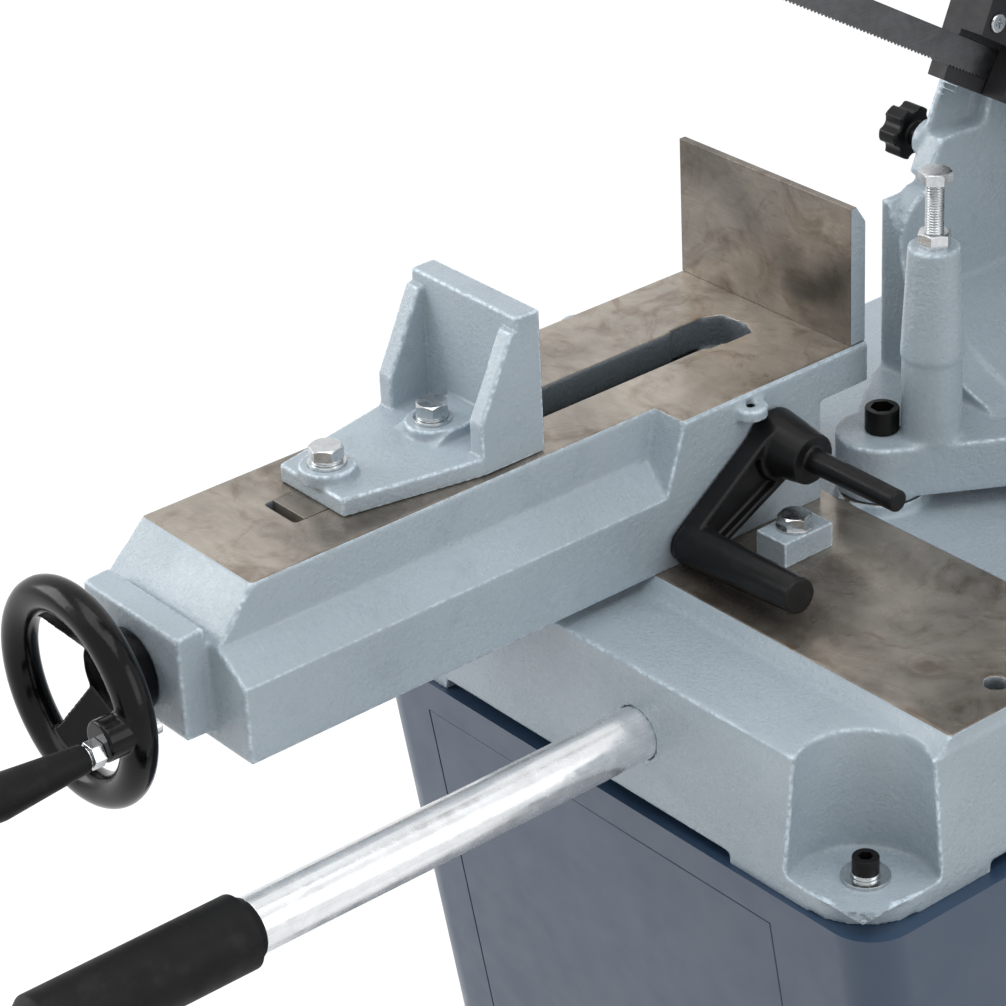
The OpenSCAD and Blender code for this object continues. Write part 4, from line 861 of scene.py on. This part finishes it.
class SAW_OT_jaws(bpy.types.Operator):
    """Rounds the jaws and grinds their faces, and bolts the movable jaw down"""

    bl_idname = "saw.jaws"
    bl_label = "Jaws"

    def execute(self, context):
        c = context.scene.band_saw_colours
        stained = FinishMaker("fixed_jaw_face")
        colours, rough, lines = iron_pattern(stained, times(c.iron, 0.78),
                                             (60, 60, 500), (((-0.045, 0, 0.905), 0.04, 0.85),
                                                             ((-0.09, 0, 0.925), 0.02, 0.5)))
        stained.put("Base Color", colours)
        stained.put("Metallic", 0.55)
        stained.put("Roughness", rough)
        stained.relief((lines, 0.3, 0.0002), (stained.noise(30, 3), 0.2, 0.001))
        FINISHES["fixed_jaw_face"] = stained.finish
        dress("fixed_jaw", "cast_paint", sizes().cast_edge * 0.5,
              lambda at, n: n.y < -0.9 or (n.z > 0.9 and at.y < 0.006), "fixed_jaw_face")
        cast("movable_jaw", "cast_paint", 0.0012, 4, 1.0,
             part_ground("jaw_face", tuple(c.casting), tuple(c.iron),
                         (1, JAW_FACE_Y - 0.0004, JAW_FACE_Y + 0.001)))
        dress("slide_block", "machined_iron", sizes().cast_edge)
        dress("lead_nut", "bronze", sizes().turned_edge)
        bolt_set("jaw_screws", "zinc", "jaw_bolts",
                 [at(VISE_X, JAW_FACE_Y - 0.126, 0.900, 0.2), at(VISE_X, JAW_FACE_Y - 0.046, 0.900, 0.95)],
                 [lambda: washer(0.012, 0.0061, 0.0022, 0.0),
                  lambda: washer(0.010, 0.0061, 0.0025, 0.0023, 0.12),
                  lambda: hex_head(0.0048), lambda: rod(0.006, -0.050, 0.0049)])
        return {"FINISHED"}


class SAW_OT_handwheel(bpy.types.Operator):
    """Polishes the handwheel and fits its spindle and grip"""

    bl_idname = "saw.handwheel"
    bl_label = "Handwheel"

    def execute(self, context):
        wheel = Matrix.Translation(WHEEL) @ Matrix.Rotation(math.pi / 2, 4, "X")
        dish, hub_r, rim_r, tube_r, handle_r = 0.020, 0.026, 0.061, 0.011, 0.057
        spoke_middle, spoke_length, spoke_width, spoke_thick = 0.036, 0.034, 0.024, 0.008
        back = max(v.co.y for v in frame["nodes"]["handwheel"].data.vertices) - WHEEL[1]
        fresh()
        bpy.ops.mesh.primitive_torus_add(major_radius=rim_r, minor_radius=tube_r, major_segments=96,
                                         minor_segments=32)
        forms = [context.object, rod(hub_r, -back, -dish, 0.001)]
        for turn in SPOKES:
            spoke = block((spoke_middle, 0, 0), (spoke_length, spoke_width, spoke_thick))
            for vertex in spoke.data.vertices:
                outer = vertex.co.x > spoke_middle
                vertex.co.y *= 0.8 if outer else 1.0
                vertex.co.z -= 0.001 if outer else dish + 0.005
            forms.append(placed(spoke, Matrix.Rotation(math.radians(-turn), 4, "Z")))
        boss = rod(0.0128, -0.004, 0.024, 0.001)
        turned = Matrix.Rotation(math.radians(-SPOKES[0]), 4, "Z")
        forms.append(placed(boss, turned @ Matrix.Translation((handle_r, 0, 0))))
        cast("handwheel", "gloss_black", 0.001, 3, forms=[placed(form, wheel) for form in forms])
        dress("handle_spindle", "zinc", sizes().turned_edge)
        dress("handle_grip", "black_rubber", sizes().moulded_edge)
        return {"FINISHED"}


class SAW_OT_lock_lever(bpy.types.Operator):
    """Rounds the lock lever and its shaft"""

    bl_idname = "saw.lock_lever"
    bl_label = "Lock lever"

    def execute(self, context):
        cast("lock_lever", "black_plastic", 0.0009, 4)
        dress("lever_shaft", "bright_steel", sizes().turned_edge)
        return {"FINISHED"}


class SAW_OT_swivel_arm(bpy.types.Operator):
    """Rounds the swivel arm, its pivot screw, hinge shaft and knob"""

    bl_idname = "saw.swivel_arm"
    bl_label = "Swivel arm"

    def execute(self, context):
        cast("swivel_arm", "cast_paint", 0.0017, 5, 0.6)
        dress("hinge_shaft", "bright_steel", sizes().turned_edge)
        cast("horn_knob", "black_plastic", 0.0008, 4)
        bolt_set("pivot_cap_screw", "black_oxide", "pivot_screw", [at(-0.015, 0.013, 0.8223, 0.4)],
                 [lambda: cap_head(0.0112, 0.016, 0.0, 0.0136), lambda: rod(0.008, -0.074, 0.0003)])
        return {"FINISHED"}


class SAW_OT_stop_bolt(bpy.types.Operator):
    """Threads the stop bolt on the post and fits its nut"""

    bl_idname = "saw.stop_bolt"
    bl_label = "Stop bolt"

    def execute(self, context):
        pitch = sizes().thread_pitch
        bolt_set("stop_screw", "zinc", "stop_bolt", [at(*POST, 0.0, 0.25)],
                 [lambda: hex_head(0.997), lambda: thread(0.006, pitch, 0.912, 0.9975)])
        bolt_set("stop_screw_nut", "zinc", "stop_nut", [at(*POST, 0.954, 0.6)],
                 [lambda: hex_head(0.0, 0.0095)])
        return {"FINISHED"}


class SAW_OT_bow(bpy.types.Operator):
    """Rounds the bow, its cover and handle"""

    bl_idname = "saw.bow"
    bl_label = "Bow"

    def execute(self, context):
        cast("bow_frame", "cast_paint", 0.0024, 5, 0.5)
        dress("hinge_bushes", "bronze", sizes().turned_edge)
        dress("wheel_cover", "cover_paint", 0.0007)
        dress("cover_screws", "zinc", sizes().turned_edge)
        cast("bow_handle", "black_plastic", 0.0014, 4)
        return {"FINISHED"}


def blade_path(step):
    """Follows the blade round its loop and returns the middle, side and width direction at each step."""
    run_r, bends, twists = BAND_WHEEL_R, 96, 12
    knots = []
    for centre, way in ((REAR_WHEEL_Y, 1), (FRONT_WHEEL_Y, -1)):
        for i in range(bends + 1):
            a = math.pi * i / bends
            knots.append((run_r - way * run_r * math.cos(a), centre + way * run_r * math.sin(a), 1.0))
    for i in range(twists + 1):
        y0, y1 = FRONT_TWIST
        knots.append((0.0, y0 + (y1 - y0) * i / twists, 1 - i / twists))
    for i in range(twists + 1):
        y0, y1 = REAR_TWIST
        knots.append((0.0, y0 + (y1 - y0) * i / twists, i / twists))
    reach = [0.0]
    for a, b in zip(knots, knots[1:] + knots[:1]):
        reach.append(reach[-1] + math.hypot(b[0] - a[0], b[1] - a[1]))
    count = round(reach[-1] / step)
    path = []
    at_knot = 0
    for i in range(count):
        along = reach[-1] * i / count
        while reach[at_knot + 1] < along:
            at_knot += 1
        a, b = knots[at_knot], knots[(at_knot + 1) % len(knots)]
        part = (along - reach[at_knot]) / max(1e-9, reach[at_knot + 1] - reach[at_knot])
        s, y, lean = (a[k] + (b[k] - a[k]) * part for k in range(3))
        lean *= LOOP_LEAN
        along_dir = Vector((b[0] - a[0], b[1] - a[1])).normalized()
        if lean > LOOP_LEAN * 0.999:
            side = IN_LOOP.to_3x3() @ Vector((-along_dir.y, along_dir.x, 0))
        else:
            side = Vector((-math.cos(lean), 0, -math.sin(lean)))
        width = Vector((-math.sin(lean), 0, math.cos(lean)))
        path.append((IN_LOOP @ Vector((s, y, 0)), side.normalized(), width))
    return path


class SAW_OT_blade(bpy.types.Operator):
    """Cuts and sets the teeth of the saw blade"""

    bl_idname = "saw.blade"
    bl_label = "Saw blade"

    def execute(self, context):
        width, thick, bend_out = 0.020, 0.0009, 0.00022
        parts = 3
        path = blade_path(sizes().tooth_pitch / parts)
        path = path[:len(path) // parts * parts]
        shape = bmesh.new()
        rings = []
        for i, (middle, side, up) in enumerate(path):
            tooth, step = divmod(i, parts)
            depth = (0.0, sizes().tooth_depth, sizes().tooth_depth * 0.55)[step]
            bend = side * ((bend_out, -bend_out)[tooth % 2] if step == 0 else 0.0)
            top, low = middle + up * width / 2, middle - up * (width / 2 - depth)
            back = middle - up * (width / 2 - sizes().tooth_depth * 1.1)
            half = side * thick / 2
            corners = (top + half, back + half, low + bend + half * 0.9,
                       low + bend - half * 0.9, back - half, top - half)
            rings.append([shape.verts.new(RAISED @ corner) for corner in corners])
        for a, b in zip(rings, rings[1:] + rings[:1]):
            for k in range(len(a)):
                after = (k + 1) % len(a)
                shape.faces.new((a[k], a[after], b[after], b[k]))
        bmesh.ops.recalc_face_normals(shape, faces=shape.faces)
        mesh = bpy.data.meshes.new("toothed_blade")
        shape.to_mesh(mesh)
        shape.free()
        blade = bpy.data.objects.new("toothed_blade", mesh)
        bpy.context.scene.collection.objects.link(blade)
        smooth(blade, 25)
        fitted(blade, "blade_steel", "saw_blade")
        return {"FINISHED"}


class SAW_OT_guides(bpy.types.Operator):
    """Rounds the blade's guide blocks and the front guide's arm and knob"""

    bl_idname = "saw.guides"
    bl_label = "Blade guides"

    def execute(self, context):
        dress("rear_guide", "guide_black", 0.0008)
        seat = RAISED @ Matrix.Translation((BLADE_X + 0.018, *GUIDE_SCREW))
        across = seat @ Matrix.Rotation(math.pi / 2, 4, "Y")
        bolt_set("guide_cross_screw", "zinc", "guide_screw", [across @ Matrix.Rotation(0.5, 4, "Z")],
                 [lambda: cross_head(0.0062, 0.0024, 0.0), lambda: rod(0.0025, -0.013, 0.0001)])
        cast("front_guide_arm", "cast_paint", 0.0012, 5)
        dress("front_guide", "guide_black", 0.0008)
        cast("guide_lock_knob", "black_plastic", 0.0008, 4)
        return {"FINISHED"}


class SAW_OT_wheels(bpy.types.Operator):
    """Turns the band wheels and the tensioning slide"""

    bl_idname = "saw.wheels"
    bl_label = "Band wheels"

    def execute(self, context):
        dress("drive_wheel", "wheel_iron", sizes().turned_edge)
        dress("idler_wheel", "wheel_iron", sizes().turned_edge)
        dress("idler_slide", "bright_steel", sizes().turned_edge)
        cast("tension_knob", "black_plastic", 0.0009, 4)
        return {"FINISHED"}


class SAW_OT_gearbox(bpy.types.Operator):
    """Rounds the gearbox and turns its worm and wheel"""

    bl_idname = "saw.gearbox"
    bl_label = "Gearbox"

    def execute(self, context):
        cast("gearbox", "cast_paint", 0.0018, 5, 0.7)
        dress("worm_wheel", "bronze", sizes().turned_edge)
        dress("worm_shaft", "bright_steel", sizes().turned_edge)
        return {"FINISHED"}


class SAW_OT_motor(bpy.types.Operator):
    """Casts the motor's fins and fits its fan cover and terminal box"""

    bl_idname = "saw.motor"
    bl_label = "Motor"

    def execute(self, context):
        cast("motor", "motor_paint", 0.0018, 3, 0.7)
        dress("fan_cover", "motor_paint", sizes().sheet_edge)
        dress("terminal_box", "dark_plastic", sizes().moulded_edge)
        return {"FINISHED"}


class SAW_OT_feed(bpy.types.Operator):
    """Turns the feed cylinder, its rod and valve knob"""

    bl_idname = "saw.feed"
    bl_label = "Feed cylinder"

    def execute(self, context):
        dress("feed_cylinder", "dark_frame", sizes().turned_edge)
        dress("feed_rod", "bright_steel", sizes().turned_edge)
        dress("feed_valve_knob", "red_plastic", sizes().turned_edge)
        return {"FINISHED"}


class SAW_OT_electrics(bpy.types.Operator):
    """Rounds the control box, its buttons and main switch"""

    bl_idname = "saw.electrics"
    bl_label = "Control box"

    def execute(self, context):
        dress("control_box", "box_grey", sizes().sheet_edge)
        dress("start_button", "green_plastic", sizes().turned_edge)
        dress("stop_button", "red_plastic", sizes().moulded_edge)
        dress("main_switch", "dark_plastic", sizes().moulded_edge)
        return {"FINISHED"}


def any_ray(tree, *kinds):
    """1 for rays of any of these kinds."""
    path = tree.nodes.new("ShaderNodeLightPath")
    found = path.outputs[kinds[0]]
    for kind in kinds[1:]:
        either = tree.nodes.new("ShaderNodeMath")
        either.operation = "MAXIMUM"
        tree.links.new(found, either.inputs[0])
        tree.links.new(path.outputs[kind], either.inputs[1])
        found = either.outputs[0]
    return found


def softbox(name, place, size, power, aim=(0, -0.1, 0.8)):
    """A square lamp that faces a point."""
    lamp = bpy.data.lights.new(name, "AREA")
    lamp.shape = "RECTANGLE"
    lamp.size, lamp.size_y = size
    lamp.energy = power
    holder = bpy.data.objects.new(name, lamp)
    holder.location = place
    holder.rotation_euler = (Vector(aim) - Vector(place)).to_track_quat("-Z", "Y").to_euler()
    bpy.context.scene.collection.objects.link(holder)


class SAW_OT_stage(bpy.types.Operator):
    """Sets up the floor, the lamps, the white surroundings and the camera"""

    bl_idname = "saw.stage"
    bl_label = "Studio"

    def execute(self, context):
        scene = context.scene
        scene.view_settings.view_transform = "Standard"
        eye = bpy.data.cameras.new("camera")
        eye.lens = LENS
        eye.sensor_width = 36
        eye.clip_end = 60
        camera = bpy.data.objects.new("camera", eye)
        turned = Matrix((CAMERA_RIGHT, CAMERA_UP, CAMERA_BACK)).transposed().to_4x4()
        camera.matrix_world = Matrix.Translation(CAMERA_PLACE) @ turned
        scene.collection.objects.link(camera)
        scene.camera = camera

        fresh()
        bpy.ops.mesh.primitive_grid_add(x_subdivisions=4, y_subdivisions=4, size=24, location=(0, 0, 0))
        floor = context.object
        floor.name = "studio_floor"
        ground = bpy.data.materials.new("studio_floor")
        ground.use_nodes = True
        tree = ground.node_tree
        tree.nodes.remove(tree.nodes["Principled BSDF"])
        plain, faint = (tree.nodes.new("ShaderNodeBsdfDiffuse") for _ in range(2))
        plain.inputs["Color"].default_value = (0.7, 0.7, 0.7, 1)
        faint.inputs["Color"].default_value = (0.3, 0.3, 0.3, 1)
        glow = tree.nodes.new("ShaderNodeEmission")
        glow.inputs["Strength"].default_value = 0.78
        both = tree.nodes.new("ShaderNodeAddShader")
        tree.links.new(faint.outputs[0], both.inputs[0])
        tree.links.new(glow.outputs[0], both.inputs[1])
        choice = tree.nodes.new("ShaderNodeMixShader")
        seen = any_ray(tree, "Is Camera Ray", "Is Glossy Ray", "Is Transmission Ray")
        tree.links.new(seen, choice.inputs[0])
        tree.links.new(plain.outputs[0], choice.inputs[1])
        tree.links.new(both.outputs[0], choice.inputs[2])
        tree.links.new(choice.outputs[0], tree.nodes["Material Output"].inputs["Surface"])
        floor.data.materials.append(ground)

        world = bpy.data.worlds.new("studio")
        scene.world = world
        world.use_nodes = True
        tree = world.node_tree
        sky, white = tree.nodes["Background"], tree.nodes.new("ShaderNodeBackground")
        for background, strength in ((sky, 0.55), (white, 1.0)):
            background.inputs["Color"].default_value = (1, 1, 1, 1)
            background.inputs["Strength"].default_value = strength
        mix = tree.nodes.new("ShaderNodeMixShader")
        tree.links.new(any_ray(tree, "Is Camera Ray", "Is Glossy Ray"), mix.inputs[0])
        tree.links.new(sky.outputs[0], mix.inputs[1])
        tree.links.new(white.outputs[0], mix.inputs[2])
        tree.links.new(mix.outputs[0], tree.nodes["World Output"].inputs["Surface"])

        softbox("lamp_over", (0.3, -0.6, 3.6), (3.0, 2.4), 52)
        softbox("lamp_left", (-2.6, -2.2, 2.2), (2.0, 2.0), 60)
        softbox("lamp_right", (3.0, 0.6, 2.0), (1.8, 2.0), 24)
        return {"FINISHED"}


STEPS = (SAW_OT_stage, SAW_OT_stand, SAW_OT_base, SAW_OT_base_fasteners, SAW_OT_pull_handle, SAW_OT_vise_bed,
         SAW_OT_jaws, SAW_OT_handwheel, SAW_OT_lock_lever, SAW_OT_swivel_arm, SAW_OT_stop_bolt, SAW_OT_bow,
         SAW_OT_blade, SAW_OT_guides, SAW_OT_wheels, SAW_OT_gearbox, SAW_OT_motor, SAW_OT_feed,
         SAW_OT_electrics)


class SAW_PT_panel(bpy.types.Panel):
    """Lists the sizes, the colours and the steps"""

    bl_idname = "SAW_PT_panel"
    bl_label = "Band Saw"
    bl_space_type = "VIEW_3D"
    bl_region_type = "UI"
    bl_category = "Band Saw"

    def draw(self, context):
        layout = self.layout
        for group in (context.scene.band_saw_sizes, context.scene.band_saw_colours):
            box = layout.box()
            for name in group.__annotations__:
                box.prop(group, name)
        for step in STEPS:
            layout.operator(step.bl_idname)


CLASSES = (BandSawSizes, BandSawColours) + STEPS + (SAW_PT_panel,)


def register():
    for kind in CLASSES:
        bpy.utils.register_class(kind)
    bpy.types.Scene.band_saw_sizes = PointerProperty(type=BandSawSizes)
    bpy.types.Scene.band_saw_colours = PointerProperty(type=BandSawColours)


def unregister():
    del bpy.types.Scene.band_saw_colours
    del bpy.types.Scene.band_saw_sizes
    for kind in reversed(CLASSES):
        bpy.utils.unregister_class(kind)


def main():
    register()
    for step in STEPS:
        area, name = step.bl_idname.split(".")
        getattr(getattr(bpy.ops, area), name)()


if __name__ == "__main__":
    main()
